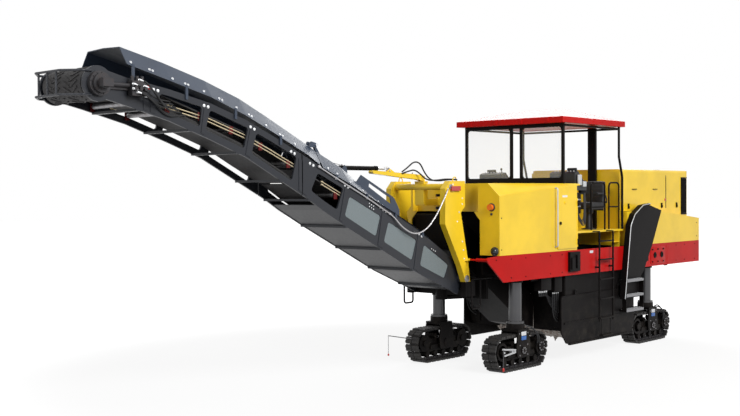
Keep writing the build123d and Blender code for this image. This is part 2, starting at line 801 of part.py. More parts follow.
def make_feed_belt():
    """Ribbed belt in the feed trough, round its two pulleys."""
    foot = (housing_front + 250, feed_foot_z)
    head = (feed_head_x, feed_head_z)
    run = math.hypot(head[0] - foot[0], head[1] - foot[1])
    angle = math.degrees(math.atan2(head[1] - foot[1], head[0] - foot[0]))
    outer = 2 * feed_belt_radius
    loop = SlotCenterToCenter(run, outer) - SlotCenterToCenter(run, outer - 2 * feed_belt_thickness)
    belt = extrude(loop, amount=trough_half - 40, both=True)
    for side in (-1, 1):
        belt += Pos(side * run / 2, 0, 0) * Cylinder(feed_belt_radius - feed_belt_thickness, 2 * trough_half - 60)
        belt += Pos(side * run / 2, 0, 0) * Cylinder(45, 2 * (trough_half - trough_wall - seam))
    for i in range(8):
        belt += Pos(-run / 2 + 120 + i * run / 8, feed_belt_radius + 10, 0) * Box(30, 40, 2 * trough_half - 100)
    middle = Pos((foot[0] + head[0]) / 2, 0, (foot[1] + head[1]) / 2)
    return middle * Rot(0, -angle, 0) * Rot(90, 0, 0) * belt


# Ladders, stair guards and lamps

def make_ladders():
    """Side ladders: two rails, rungs, grab loops over the deck's edge and a hanging bottom step."""
    y = body_half_width + 90
    front = deck_front - 670
    rear = front - 520
    rails = rod((front, y, 680), (front, y, 2420), 18) + rod((rear, y, 680), (rear, y, 2420), 18)
    for z in (740, 1120, 1500, 1880, 2240):
        rails += block((rear, front), (y - 30, y + 30), (z - 12, z + 12))
    for x in (front, rear):
        rails += block((x - 20, x + 20), (deck_half_width + seam, y), (deck_z - 30, deck_z - 10))
        rails += block((x - 20, x + 20), (body_half_width + seam, y), (1720, 1750))
    # the bottom step hangs on two straps
    for x in (front - 90, rear + 90):
        rails += block((x - 25, x + 25), (y - 5, y + 5), (400, 745))
    rails += block((rear + 60, front - 60), (y - 45, y + 45), (390, 415))
    return both_sides(rails)


def make_stair_guards():
    """Black curved guard over the rear steps: a broad face with a silver-edged flange, and grey treads."""
    x = housing_rear
    outline = [(x + 320, 1040), (x + 80, 2520), (x - 90, 2740), (x - 430, 2920), (x - 730, 2950), (x - 1410, 2800),
               (x - 1000, 2080), (x - 640, 1570), (x - 490, 1440), (x - 490, 1040)]
    inner = body_half_width + 6
    guard = side_plate(outline, inner, inner + 30)
    # flange along the front and upper edge
    edge = [(x + 320, 1040), (x + 80, 2520), (x - 90, 2740), (x - 430, 2920), (x - 730, 2950), (x - 730, 2925),
            (x - 440, 2895), (x - 108, 2720), (x + 52, 2515), (x + 290, 1040)]
    guard += side_plate(edge, inner, inner + 130)
    for z in (780, 1080, 1380):
        guard += block((x - 450, x + 270), (inner - 36, inner + 124), (z, z + 40))
    for step_x in (x - 450, x + 256):
        guard += block((step_x, step_x + 14), (inner + 30, inner + 124), (780, 1420))
    for foot_x in (x - 850, x - 50):
        guard += block((foot_x - 40, foot_x + 40), (body_half_width + seam, inner), (1750, 2050))
    return both_sides(guard)


def make_side_boxes():
    """Black valve boxes in the red band, and the tank with its hose block behind each front leg."""
    outer = body_half_width
    boxes = block((deck_front - 30, deck_front + 330), (outer + seam, outer + 55), (1700, 2070))
    boxes += block((deck_front + 20, deck_front + 120), (outer + 54, outer + 85), (1760, 2010))
    boxes += block((deck_front + 180, deck_front + 290), (outer + 54, outer + 75), (1740, 1960))
    return both_sides(boxes)


def make_lamps():
    """Amber lamps and round headlights on the front face, and the tail lamps, each from its own face."""
    side = body_half_width - 165
    lamps = None
    places = [
        # x_face, y, z, radius, depth
        (0, side, 2940, 55, 70),
        (0, -side, 2940, 55, 70),
        (0, side + 70, 2175, 62, 30),
        (0, -side - 70, 2175, 62, 30),
        (body_rear, side, 2400, 50, -lamp_depth),
        (body_rear, -side, 2400, 50, -lamp_depth),
    ]
    for x, y, z, radius, depth in places:
        lamp = rod((x + math.copysign(0.3, depth), y, z), (x + depth, y, z), radius)
        lamps = lamp if lamps is None else lamps + lamp
    return lamps


# Slewing gantry

def make_slew_frame():
    """Yellow gantry: two posts, the top tube, the lifting arm and the lock lugs."""
    outline = [(830, 3270), (700, 3400), (280, 3400), (280, 2960), (400, 2850), (200, 2010), (140, 1640),
               (270, 1640), (400, 1920), (840, 2660)]
    pivot = across(tilt_x, tilt_z, 45 + seam, post_inner - 1, post_inner + 61)
    post = side_plate(outline, post_inner, post_inner + post_wall) - pivot
    outer = post_inner + post_wall
    post += floor_plate([(lock_x - 30, outer - 1), (lock_x - 30, lock_lug_y), (lock_x + 30, lock_lug_y),
                         (lock_x + 60, outer - 1)], lock_z - 20, lock_z + 20)
    gantry = both_sides(post)
    gantry += across(690, 3300, 55, -post_inner, post_inner)
    gantry += block((slew_x, 690), (-100, 100), (2975, 3095))
    gantry += Pos(slew_x, 0, 3037) * Cylinder(110, 170)
    gantry += block((600, 720), (-100, 100), (2990, 3400))
    arm = [(620, 3390), (620, 3490), (760, 3515), (1960, 3575), (1990, 3550), (1960, 3520), (800, 3430)]
    gantry += side_plate(arm, -50, 50)
    # lug of the lifting cylinder, held off the arm's right side
    lug = side_plate([(lift_arm_x - 190, 3500), (lift_arm_x + 10, 3565), (lift_arm_x + 34, lift_arm_z),
                      (lift_arm_x, lift_arm_z + 34), (lift_arm_x - 190, 3560)], lift_y - 7, lift_y + 7)
    lug += block((lift_arm_x - 190, lift_arm_x - 130), (lift_y - 7, -49), (3500, 3550))
    return gantry + lug


def make_gantry_lamps():
    """Red lamp on the outer side of each post's top."""
    outer = post_inner + post_wall
    return both_sides(block((450, 700), (outer + seam, outer + 40), (3230, 3310)))


def make_slew_base():
    """Dark lower beam that joins the posts' feet and turns in the chassis tongue."""
    beam = block((-10, 130), (-668, 668), (1380, 1500))
    beam += both_sides(block((-10, 265), (562, 668), (1380, 1640 - seam)))
    beam += Pos(slew_x, 0, 1450) * Cylinder(120, 219)
    return beam


# Loading conveyor

# Window bays of the side frames; each leans forward towards its lower edge
mesh_bays = [
    # top_from, top_to, lean, chord_low, chord_high
    (540, 1200, 110, 155, 165),
    (1400, 2110, 115, 155, 195),
    (2300, 3030, 110, 155, 185),
]
lower_bays = mesh_bays + [(3170, 3730, 145, 160, 125)]
upper_bays = [
    (4170, 4960, 100, 105, 95),
    (5120, 5810, 80, 105, 95),
    (5950, 6650, 40, 105, 90),
]
bay_margin = 130


def stations_between(x_from, x_to, margin=0):
    inside = [s[0] for s in conveyor_stations if x_from + margin < s[0] < x_to - margin]
    return [x_from] + inside + [x_to]


def bay_plate(bay, inset, y_from, y_to):
    """A plate with one bay's rounded outline, drawn in from its edge."""
    top_from, top_to, lean, chord_low, chord_high = bay
    low = stations_between(top_from + lean + inset, top_to + lean - inset, bay_margin)
    high = stations_between(top_from + inset, top_to - inset, bay_margin)
    outline = [(x, bottom_at(x) + chord_low + inset) for x in low]
    outline += [(x, frame_top_at(x) - chord_high - inset) for x in reversed(high)]
    return side_plate(outline, y_from, y_to, corner=bay_corner)


def doubler(x_low, x_high, lean):
    """A flat doubling plate on the side frame, from chord to chord."""
    outline = [(x, bottom_at(x) + 30) for x in (x_low + lean, x_high + lean)]
    outline += [(x, frame_top_at(x) - 90) for x in (x_high, x_low)]
    return side_plate(outline, frame_half_width - 1, frame_half_width + 7)


def side_frame(x_from, x_to, bays):
    """One side of the conveyor: a plate with window bays and doubled posts between them."""
    xs = stations_between(x_from, x_to)
    inner = frame_half_width - conveyor_plate
    plate = strip(xs, bottom_at, frame_top_at, inner, frame_half_width)
    for bay in bays:
        plate -= bay_plate(bay, 0, inner - 1, frame_half_width + 1)
    for bay, after in zip(bays, bays[1:]):
        plate += doubler(bay[1] + 35, after[0] - 35, (bay[2] + after[2]) / 2)
    return plate


def conveyor_frame(x_from, x_to, bays):
    """Both side frames and the flat bars between them, under the return belt."""
    frame = both_sides(side_frame(x_from, x_to, bays))
    first = x_from + 400
    last = min(x_to, 7150) - 160
    count = round((last - first) / 800)
    for i in range(count + 1):
        x = first + i * (last - first) / count
        z = bottom_at(x)
        frame += block((x - 40, x + 40), (-frame_half_width, frame_half_width), (z - 10, z + 25))
    return frame


def make_lower_frame():
    """Lower section: side frames, bottom pan and the foot with its tilt pins."""
    front = split_x - fold_gap
    frame = conveyor_frame(280, front, lower_bays)
    pan = stations_between(500, front - 300)
    frame += strip(pan, lambda x: bottom_at(x) + 8, lambda x: bottom_at(x) + 16, -frame_half_width + 1,
                   frame_half_width - 1)
    outline = [(150, 1790), (165, 1580), (290, 1420), (430, 1470), (430, 1940), (230, 1900)]
    foot = side_plate(outline, frame_half_width - conveyor_plate, frame_half_width)
    foot += across(tilt_x, tilt_z, 70, frame_half_width, post_inner - 6)
    foot += across(tilt_x, tilt_z, tilt_pin, frame_half_width, post_inner + 60)
    foot += across(tail_x, tail_z, 40, belt_half_width - 40, frame_half_width - 1)
    foot += doubler(front - 75, front, 0)
    return frame + both_sides(foot)


def cover(x_from, x_to):
    """Arched cover of four flats over the belt."""
    sections = []
    for x in stations_between(x_from, x_to):
        low = cover_low_at(x)
        top = cover_top_at(x)
        outline = Polyline(
            (x, -cover_half_width, low),
            (x, -cover_crown, top - 15),
            (x, 0, top),
            (x, cover_crown, top - 15),
            (x, cover_half_width, low),
            (x, cover_half_width - cover_sheet, low),
            (x, cover_crown - 8, top - 15 - cover_sheet),
            (x, 0, top - cover_sheet),
            (x, -cover_crown + 8, top - 15 - cover_sheet),
            (x, -cover_half_width + cover_sheet, low),
            close=True,
        )
        sections.append(make_face(outline))
    shell = None
    for first, second in zip(sections, sections[1:]):
        piece = loft([first, second])
        shell = piece if shell is None else shell + piece
    return shell


def flats(shell, x_list):
    """Cuts a cover into its bolted sheets: a crown and two slopes between each pair of places."""
    width = (-cover_half_width - 1, cover_half_width + 1)
    height = (cover_low_at(x_list[0]) - 600, cover_top_at(x_list[-1]) + 600)
    for x in x_list:
        shell -= block((x - seam / 2, x + seam / 2), width, height)
    length = (x_list[0] - 1000, x_list[-1] + 1000)
    for y in (-cover_crown, cover_crown):
        shell -= block(length, (y - seam / 2, y + seam / 2), height)
    return shell


def cover_posts(x_from, x_to, count):
    """Flat posts that carry the cover on the side frames."""
    posts = None
    for i in range(count):
        x = x_from + i * (x_to - x_from) / (count - 1)
        post = block(
            (x - 20, x + 20),
            (frame_half_width + seam, cover_half_width - 5),
            (frame_top_at(x) - 60, cover_low_at(x) + 30),
        )
        posts = post if posts is None else posts + post
    return both_sides(posts)


def fold_knuckles(inner_ones):
    """Knuckles of the fold hinge on the covers' upper edges; the inner ones carry the pins."""
    reach = 150
    side = -1 if inner_ones else 1
    root_x = fold_x + side * reach
    top = cover_top_at(root_x) - 40
    knuckles = None
    for y in (-hinge_y, hinge_y):
        middles = (y,) if inner_ones else (y - hinge_width, y + hinge_width)
        for middle in middles:
            outline = [(root_x, top), (root_x - side * 60, top + 90), (fold_x, fold_z + 32),
                       (fold_x - side * 26, fold_z), (fold_x, fold_z - 26), (root_x - side * 80, top)]
            plate = side_plate(outline, middle - hinge_width / 2 + 2.5, middle + hinge_width / 2 - 2.5)
            if not inner_ones:
                plate -= across(fold_x, fold_z, hinge_pin + seam, middle - hinge_width, middle + hinge_width)
            knuckles = plate if knuckles is None else knuckles + plate
        if inner_ones:
            knuckles += across(fold_x, fold_z, hinge_pin, y - 1.6 * hinge_width, y + 1.6 * hinge_width)
    return knuckles


def make_lower_cover():
    """Cover of the lower section with the lifting cylinder's lug, two slotted rails and hinge knuckles."""
    shell = flats(cover(1100, fold_x - 15), (1370, 2000, 3060))
    shell += cover_posts(1250, fold_x - 330, 4)
    lug = [(lift_boom_x - 120, 3150), (lift_boom_x + 140, 3330), (lift_boom_x + 45, lift_boom_z),
           (lift_boom_x, lift_boom_z + 45), (lift_boom_x - 45, lift_boom_z)]
    for side in (-1, 1):
        middle = lift_y + side * 60
        shell += side_plate(lug, middle - 8, middle + 8)
    shell += across(lift_boom_x, lift_boom_z, lift_pin_radius, lift_y - 68, lift_y + 68)
    rail = [(2720, 3370), (2600, 3490), (1800, 3120), (1660, 2920), (1660, 2740), (1740, 2780)]
    rail_plate = side_plate(rail, rail_y - 6, rail_y + 6)
    slot = [(2420, 3300), (2410, 3360), (1900, 3120), (1870, 3010)]
    rail_plate -= side_plate(slot, rail_y - 7, rail_y + 7, corner=15)
    return shell + both_sides(rail_plate) + fold_knuckles(True)


def belt_runs(x_from, x_to):
    """Carrying run above and return run below."""
    xs = stations_between(x_from, x_to)
    half = belt_thickness / 2
    runs = strip(xs, lambda x: carry_at(x) - half, lambda x: carry_at(x) + half, -belt_half_width,
                 belt_half_width)
    runs += strip(xs, lambda x: back_at(x) - half, lambda x: back_at(x) + half, -belt_half_width,
                  belt_half_width)
    return runs


def belt_wrap(x, z, radius, side):
    """Half turn of the belt round a pulley, on the side where it turns back."""
    wrap = across(x, z, radius + belt_gap + belt_thickness, -belt_half_width, belt_half_width)
    wrap -= across(x, z, radius + belt_gap, -belt_half_width - 1, belt_half_width + 1)
    far = x - side * 3 * radius
    wrap -= block((min(x, far), max(x, far)), (-belt_half_width - 1, belt_half_width + 1),
                  (z - 2 * radius, z + 2 * radius))
    return wrap


def make_lower_belt():
    loop = belt_runs(tail_x, split_x - fold_gap - 20)
    loop += belt_wrap(tail_x, tail_z, tail_radius, -1)
    return loop


def make_tail_pulley():
    half = belt_half_width - 40 - seam
    return across(tail_x, tail_z, tail_radius - pulley_gap, -half, half)


def make_mesh_guards():
    """Perforated sheets that fill the lower bays, a little inside the plate."""
    guards = None
    for bay in mesh_bays:
        plate = bay_plate(bay, seam, frame_half_width - 16, frame_half_width - 10)
        guards = plate if guards is None else guards + plate
    return both_sides(guards)


def make_upper_frame():
    """Upper section: side frames, bearing discs and tube guard at the head."""
    rear = split_x + fold_gap
    frame = conveyor_frame(rear, head_x, upper_bays)
    disc = across(head_x, head_z, head_radius + 35, frame_half_width - conveyor_plate, frame_half_width)
    disc += across(head_x, head_z, 70, frame_half_width, frame_half_width + 45)
    disc += doubler(rear, rear + 60, 0) + doubler(6730, 6810, 0) + doubler(6840, 6920, 0)
    frame += both_sides(disc)
    half = frame_half_width + 8
    front = head_x + guard_reach - guard_tube
    for z in (head_z - 150, head_z + 150):
        loop = [(head_x + 100, half, z), (head_x + 230, half, z), (front, 270, z), (front, -270, z),
                (head_x + 230, -half, z), (head_x + 100, -half, z)]
        frame += bent_tube(loop, guard_tube, 60)
    for y in (-200, 0, 200):
        frame += rod((front, y, head_z - 150), (front, y, head_z + 150), guard_tube - 2)
    return frame


def make_head_motor():
    """Gearbox, motor and valve block that drive the head pulley, on the left side frame."""
    y = frame_half_width + seam
    motor = across(head_x, head_z, 155, y, y + 60)
    motor -= across(head_x, head_z, 70 + seam, y - 1, y + 46)
    motor += across(head_x, head_z, 120, y + 59, y + 105)
    motor += across(head_x, head_z, 70, y + 104, y + 190)
    motor += block((head_x - 75, head_x + 75), (y + 150, y + 230), (head_z - 50, head_z + 50))
    valve_x = head_x - 520
    motor += block((valve_x - 40, head_x - 120), (y, y + 30), (head_z - 60, head_z + 20))
    motor += block((valve_x - 130, valve_x + 90), (y + 24, y + 120), (head_z - 130, head_z + 60))
    for x in (valve_x - 95, valve_x - 20, valve_x + 55):
        motor += rod((x, y + 70, head_z + 59), (x, y + 70, head_z + 125), 22)
        motor += across(x, head_z - 40, 24, y + 119, y + 165)
    motor += rod((valve_x + 80, y + 60, head_z), (head_x - 100, y + 60, head_z), 26)
    return motor


def make_upper_cover():
    shell = cover(fold_x + 5, 7180)
    # notch that clears the lower side frames as the section folds
    notch = block((fold_x, fold_x + 45), (frame_half_width - 35, cover_half_width + 10), (3500, 3660))
    shell = flats(shell - both_sides(notch), (3930, 4660, 5170, 5800, 6500))
    shell += cover_posts(4500, 7080, 4)
    return shell + fold_knuckles(False)


def make_upper_belt():
    loop = belt_runs(split_x + fold_gap + 20, head_x)
    loop += belt_wrap(head_x, head_z, head_radius, 1)
    return loop


def make_head_pulley():
    half = belt_half_width - 10
    radius = head_radius - 7
    pulley = across(head_x, head_z, radius, -half, half)
    inner = frame_half_width - conveyor_plate - seam
    return pulley + across(head_x, head_z, 45, -inner, inner)


# Lifting cylinder between the gantry's arm and the conveyor; its rod ends in a fork with no pin
# through the arm's lug

def lift_frame():
    """Plane at the conveyor's pin, its local Z along the cylinder towards the arm."""
    start = Vector(lift_boom_x, lift_y, lift_boom_z)
    end = Vector(lift_arm_x, lift_y, lift_arm_z)
    return Plane(start, x_dir=(0, 1, 0), z_dir=end - start), (end - start).length


def up_cylinder(radius, low, high):
    return Pos(0, 0, low) * Cylinder(radius, high - low, align=(Align.CENTER, Align.CENTER, Align.MIN))


def make_lift_barrel():
    place = lift_frame()[0]
    barrel = up_cylinder(38, 30, lift_barrel) + up_cylinder(44, lift_barrel - 60, lift_barrel)
    barrel -= up_cylinder(lift_rod_radius + 1, 60, lift_barrel + 1)
    barrel += Rot(0, 90, 0) * Cylinder(40, 80)
    return place * (barrel - Rot(0, 90, 0) * Cylinder(lift_pin_radius + seam, 81))


def make_lift_rod():
    place, length = lift_frame()
    stem = up_cylinder(lift_rod_radius, 225, length - 80)
    fork = Pos(0, 0, length - 75) * Box(52, 56, 20)
    for side in (-1, 1):
        fork += Pos(side * 19, 0, length - 35) * Box(14, 50, 90)
        fork += Pos(side * 19, 0, length) * Rot(0, 90, 0) * Cylinder(26, 14)
    return place * (stem + fork)


nodes = {}


def add(name, shape):
    nodes[name] = shape


add("main_frame", make_main_frame() + make_nose_step())
add("slew_brackets", make_slew_brackets())
add("side_bands", make_side_bands())
add("front_housing", make_front_housing())
add("grab_bars", make_grab_bars())
add("service_door_left", make_service_door())
add("service_door_right", mirrored(make_service_door()))
add("rear_boxes", make_rear_boxes())
add("rear_cowl", make_rear_cowl())
add("rear_grille", make_rear_grille())
add("engine_hood", make_engine_hood())
add("engine_block", make_engine())
add("operator_deck", make_operator_deck())
add("deck_rails", make_rails())
add("consoles", make_consoles())
add("seats", make_seats())
add("canopy_frame", make_canopy_frame())
add("canopy_glass", make_canopy_glass())
add("canopy_roof", make_canopy_roof())
add("milling_drum", make_drum())
add("drum_housing", make_drum_housing())
add("edge_plate_left", make_edge_plate())
add("edge_plate_right", mirrored(make_edge_plate()))
add("scraper", make_scraper())
add("feed_frame", make_feed_frame())
add("feed_belt", make_feed_belt())
add("ladders", make_ladders())
add("stair_guards", make_stair_guards())
add("lamps", make_lamps())
add("side_boxes", make_side_boxes())
add("slew_frame", make_slew_frame())
add("slew_base", make_slew_base())
add("gantry_lamps", make_gantry_lamps())
add("lower_frame", make_lower_frame())
add("lower_cover", make_lower_cover())
add("lower_belt", make_lower_belt())
add("mesh_guards", make_mesh_guards())
add("upper_frame", make_upper_frame())
add("upper_cover", make_upper_cover())
add("upper_belt", make_upper_belt())
add("head_pulley", make_head_pulley())
add("head_motor", make_head_motor())
add("tail_pulley", make_tail_pulley())
add("lift_barrel", make_lift_barrel())
add("lift_rod", make_lift_rod())

crawler_left = make_crawler()
crawler_right = mirrored(crawler_left)
track = make_track()
leg = make_leg()
for end, x in (("front", front_leg_x), ("rear", rear_leg_x)):
    for side, y, crawler in (("left", leg_y, crawler_left), ("right", -leg_y, crawler_right)):
        place = Pos(x, y, 0)
        add(f"leg_{end}_{side}", place * leg)
        add(f"crawler_{end}_{side}", place * crawler)
        add(f"track_{end}_{side}", place * track)

os.makedirs("parts", exist_ok=True)
for name, shape in nodes.items():
    export_step(Pos(front_face_x, 0, 0) * shape, f"parts/{name}.step")
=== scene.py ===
# %% [markdown]
# # A cold planer in Blender
# A milling machine peels the old surface off a road. It walks on four small crawlers, carries a
# toothed drum under its belly, and throws the millings forward over a long slewing conveyor. The
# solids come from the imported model. Here they get their finishes, and the small things that are
# easier to make from meshes and curves: bolts, hoses, track shoes, piping, cushions and trim.

# %% Load the frame
import bpy
import bmesh
import json
import math
from mathutils import Matrix, Vector
from mathutils.bvhtree import BVHTree


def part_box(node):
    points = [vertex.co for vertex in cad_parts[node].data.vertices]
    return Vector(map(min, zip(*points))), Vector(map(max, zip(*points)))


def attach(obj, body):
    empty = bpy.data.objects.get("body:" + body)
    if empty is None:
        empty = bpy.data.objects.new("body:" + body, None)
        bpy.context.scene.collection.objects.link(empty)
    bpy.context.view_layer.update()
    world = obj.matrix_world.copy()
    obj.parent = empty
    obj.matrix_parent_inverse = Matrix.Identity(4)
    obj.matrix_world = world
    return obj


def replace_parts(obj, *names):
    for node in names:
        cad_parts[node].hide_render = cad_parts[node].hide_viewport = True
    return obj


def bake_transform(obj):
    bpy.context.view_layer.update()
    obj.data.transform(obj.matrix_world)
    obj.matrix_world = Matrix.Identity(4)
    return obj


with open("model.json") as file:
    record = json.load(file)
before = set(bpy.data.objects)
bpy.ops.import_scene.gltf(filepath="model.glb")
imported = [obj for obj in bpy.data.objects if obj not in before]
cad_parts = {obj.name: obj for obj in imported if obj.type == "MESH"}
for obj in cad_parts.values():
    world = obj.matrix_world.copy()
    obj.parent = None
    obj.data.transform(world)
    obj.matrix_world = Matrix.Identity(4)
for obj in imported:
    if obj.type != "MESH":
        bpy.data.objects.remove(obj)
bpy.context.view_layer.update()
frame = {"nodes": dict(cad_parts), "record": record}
nodes = frame["nodes"]

# %% [markdown]
# Everything is placed from the front face of the yellow body, as a mechanic would measure it: X
# runs back to front, Y to the machine's left, Z up from the ground. Sizes are metres.

# %% Places read from the solids
front_x, side_y, body_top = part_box("front_housing")[1]
print("front face", round(front_x, 3), "side", round(side_y, 3), "top", round(body_top, 3))


def spot(x, y, z):
    """A place measured from the front face."""
    return Vector((x + front_x, y, z))


# %% [markdown]
# ## Shader maths as expressions
# Nodes are quick to wire by hand and slow to read in a script. A thin wrapper round a socket lets a
# material be written as a formula, so `1 - mask * 0.4` adds its own Math nodes.

# %% A socket that can be calculated with
class Value:
    """One output socket of a node tree, with arithmetic."""

    def __init__(self, tree, socket):
        self.tree = tree
        self.socket = socket

    def math(self, operation, *others, clamp=False):
        node = self.tree.nodes.new("ShaderNodeMath")
        node.operation = operation
        node.use_clamp = clamp
        for i, item in enumerate((self,) + others):
            put(self.tree, node.inputs[i], item)
        return Value(self.tree, node.outputs[0])

    def __add__(self, other):
        return self.math("ADD", other)

    __radd__ = __add__

    def __mul__(self, other):
        return self.math("MULTIPLY", other)

    __rmul__ = __mul__

    def __sub__(self, other):
        return self.math("SUBTRACT", other)

    def __rsub__(self, other):
        return (self * -1).math("ADD", other)

    def clamped(self):
        return self.math("ADD", 0.0, clamp=True)

    def above(self, low, high):
        """0 below low, 1 above high, smooth between."""
        node = self.tree.nodes.new("ShaderNodeMapRange")
        node.interpolation_type = "SMOOTHSTEP"
        put(self.tree, node.inputs["Value"], self)
        node.inputs["From Min"].default_value = low
        node.inputs["From Max"].default_value = high
        return Value(self.tree, node.outputs["Result"])


def put(tree, socket, item):
    """Links a Value to a socket, or sets the socket to a number, colour or vector."""
    if isinstance(item, Value):
        tree.links.new(item.socket, socket)
    else:
        socket.default_value = item


def new_node(tree, kind, settings=None, **inputs):
    """Any other node: its settings are set first, then its sockets. Returns its outputs."""
    made = tree.nodes.new(kind)
    for key, value in (settings or {}).items():
        setattr(made, key, value)
    for key, item in inputs.items():
        put(tree, made.inputs[key.replace("_", " ")], item)
    return {o.name: Value(tree, o) for o in made.outputs if o.enabled}


class Finish:
    """A material under construction: a Principled shader and the nodes that feed it."""

    def __init__(self, name, color, roughness, metallic=0.0, **fixed):
        self.material = bpy.data.materials.new(name)
        self.material.use_nodes = True
        self.tree = self.material.node_tree
        self.shader = self.tree.nodes["Principled BSDF"]
        self.shader.inputs["Base Color"].default_value = (*color, 1)
        self.shader.inputs["Roughness"].default_value = roughness
        self.shader.inputs["Metallic"].default_value = metallic
        for key, value in fixed.items():
            self.shader.inputs[key.replace("_", " ")].default_value = value
        self.place = self.node("ShaderNodeTexCoord")["Object"]

    def node(self, kind, settings=None, **inputs):
        return new_node(self.tree, kind, settings, **inputs)

    def noise(self, scale, detail=3.0, roughness=0.55, stretch=(1, 1, 1)):
        place = self.node("ShaderNodeMapping", Vector=self.place, Scale=stretch)["Vector"]
        return self.node("ShaderNodeTexNoise", Vector=place, Scale=scale, Detail=detail,
                         Roughness=roughness)["Fac"]

    def height(self):
        """Height over the ground in metres."""
        return self.node("ShaderNodeSeparateXYZ", Vector=self.place)["Z"]

    def mix(self, mask, first, second):
        """Colour that goes from first to second as the mask goes from 0 to 1."""
        made = self.tree.nodes.new("ShaderNodeMix")
        made.data_type = "RGBA"
        put(self.tree, made.inputs["Factor"], mask)
        for socket, item in ((made.inputs[6], first), (made.inputs[7], second)):
            put(self.tree, socket, item if isinstance(item, Value) else (*item, 1))
        return Value(self.tree, made.outputs[2])

    def paint(self, value):
        put(self.tree, self.shader.inputs["Base Color"], value)

    def rough(self, value):
        put(self.tree, self.shader.inputs["Roughness"], value)

    def bump(self, height, strength, distance):
        made = self.node("ShaderNodeBump", Height=height, Strength=strength, Distance=distance)
        put(self.tree, self.shader.inputs["Normal"], made["Normal"])


# %% [markdown]
# ## Paint
# New machine paint is smooth with a fine orange peel, a clear gloss over it, and a breath of road
# dust that settles low down. The paints share one recipe: large soft noise varies the tone a
# little, a fast noise gives the orange peel, and height over the ground drives the dust.

# %% Paints
dust_tone = (0.30, 0.26, 0.21)


def machine_paint(name, color, roughness, dust=0.2, coat=0.3, metallic=0.0, gloss=0.5):
    finish = Finish(name, color, roughness, metallic, Coat_Weight=coat, Coat_Roughness=0.14,
                    Specular_IOR_Level=gloss)
    patches = finish.noise(1.4, 4.0)
    darker = tuple(c * 0.88 for c in color)
    tone = finish.mix(patches.above(0.35, 0.7), color, darker)
    low = 1 - finish.height().above(0.25, 1.6)
    film = (low * finish.noise(5.0, 6.0, 0.7).above(0.42, 0.75) * dust).clamped()
    finish.paint(finish.mix(film, tone, dust_tone))
    finish.rough((finish.noise(22.0) * 0.12 + (roughness - 0.06) + film * 0.4).clamped())
    finish.bump(finish.noise(160.0, 1.0), 0.04, 0.002)
    return finish.material


yellow_paint = machine_paint("yellow_paint", (0.94, 0.63, 0.022), 0.34, 0.1, 0.2, gloss=0.35)
red_paint = machine_paint("red_paint", (0.52, 0.007, 0.006), 0.38, 0.05, 0.0, gloss=0.1)
slate_paint = machine_paint("slate_paint", (0.018, 0.02, 0.026), 0.4, 0.08, 0.08, gloss=0.3)
cover_paint = machine_paint("cover_paint", (0.036, 0.05, 0.078), 0.4, 0.08, 0.1, gloss=0.35)
# A darker copy of the red paint for the roller brackets inside the conveyor: painted shade.
shade_darkened_red_paint = machine_paint("shade_darkened_red_paint", (0.11, 0.008, 0.008), 0.5, 0.3, 0.0, gloss=0.2)
black_paint = machine_paint("black_paint", (0.005, 0.004, 0.004), 0.5, 0.07, 0.0, gloss=0.07)
leg_steel = machine_paint("leg_steel", (0.06, 0.06, 0.064), 0.3, 0.08, 0.2, 0.5)
silver_paint = machine_paint("silver_paint", (0.55, 0.56, 0.57), 0.4, 0.1, 0.1, 0.4)
white_plate = machine_paint("white_plate", (0.75, 0.76, 0.78), 0.45, 0.05, 0.0)
blue_plate = machine_paint("blue_plate", (0.03, 0.13, 0.42), 0.45, 0.05, 0.0)

# %% [markdown]
# ## Rubber, steel and glass
# Track pads and belts are black rubber with a grey film of dust in patches. The drum is bare cast
# steel with brown spots. The guards are grey sheet with small round holes, which a Voronoi pattern
# draws as dark dots with a dent at each.

# %% Rubber
def worn_rubber(name, color, dust, grain=90.0):
    finish = Finish(name, color, 0.75)
    film = (finish.noise(9.0, 6.0, 0.7).above(0.4, 0.7) * dust).clamped()
    finish.paint(finish.mix(film, color, tuple(c * 0.5 for c in dust_tone)))
    finish.rough((finish.noise(30.0) * 0.2 + 0.6).clamped())
    finish.bump(finish.noise(grain, 4.0), 0.25, 0.003)
    return finish.material


track_rubber = worn_rubber("track_rubber", (0.008, 0.007, 0.007), 0.1)
belt_rubber = worn_rubber("belt_rubber", (0.012, 0.011, 0.012), 0.06)
hose_rubber = worn_rubber("hose_rubber", (0.006, 0.006, 0.007), 0.0, 300.0)


# %% Steel
def bare_steel(name, color, roughness, rust=0.0, metallic=0.9):
    finish = Finish(name, color, roughness, metallic)
    spots = (finish.noise(14.0, 8.0, 0.75).above(0.45, 0.66) * rust).clamped()
    finish.paint(finish.mix(spots, color, (0.12, 0.05, 0.025)))
    finish.rough((finish.noise(40.0, 3.0) * 0.2 + roughness + spots * 0.4).clamped())
    finish.bump(finish.noise(120.0, 5.0), 0.2, 0.002)
    return finish.material


drum_steel = bare_steel("drum_steel", (0.24, 0.22, 0.2), 0.45, 0.7)
roller_steel = bare_steel("roller_steel", (0.3, 0.3, 0.31), 0.38, 0.3)
engine_metal = bare_steel("engine_metal", (0.035, 0.034, 0.037), 0.45, 0.1, 0.6)
bolt_zinc = bare_steel("bolt_zinc", (0.86, 0.87, 0.88), 0.28, 0.0, 0.55)
rod_chrome = bare_steel("rod_chrome", (0.78, 0.78, 0.8), 0.12)
carbide = bare_steel("carbide", (0.5, 0.5, 0.48), 0.3, 0.2)


# %% Perforated guard sheet
def perforated_sheet(name, color, pitch):
    finish = Finish(name, color, 0.5, metallic=0.2)
    cells = finish.node("ShaderNodeTexVoronoi", {"feature": "F1"}, Vector=finish.place, Scale=1 / pitch,
                        Randomness=0.0)
    hole = 1 - cells["Distance"].above(0.22, 0.32)
    finish.paint(finish.mix(hole * 0.6, color, (0.03, 0.034, 0.036)))
    finish.bump(1 - hole, 0.5, 0.002)
    return finish.material


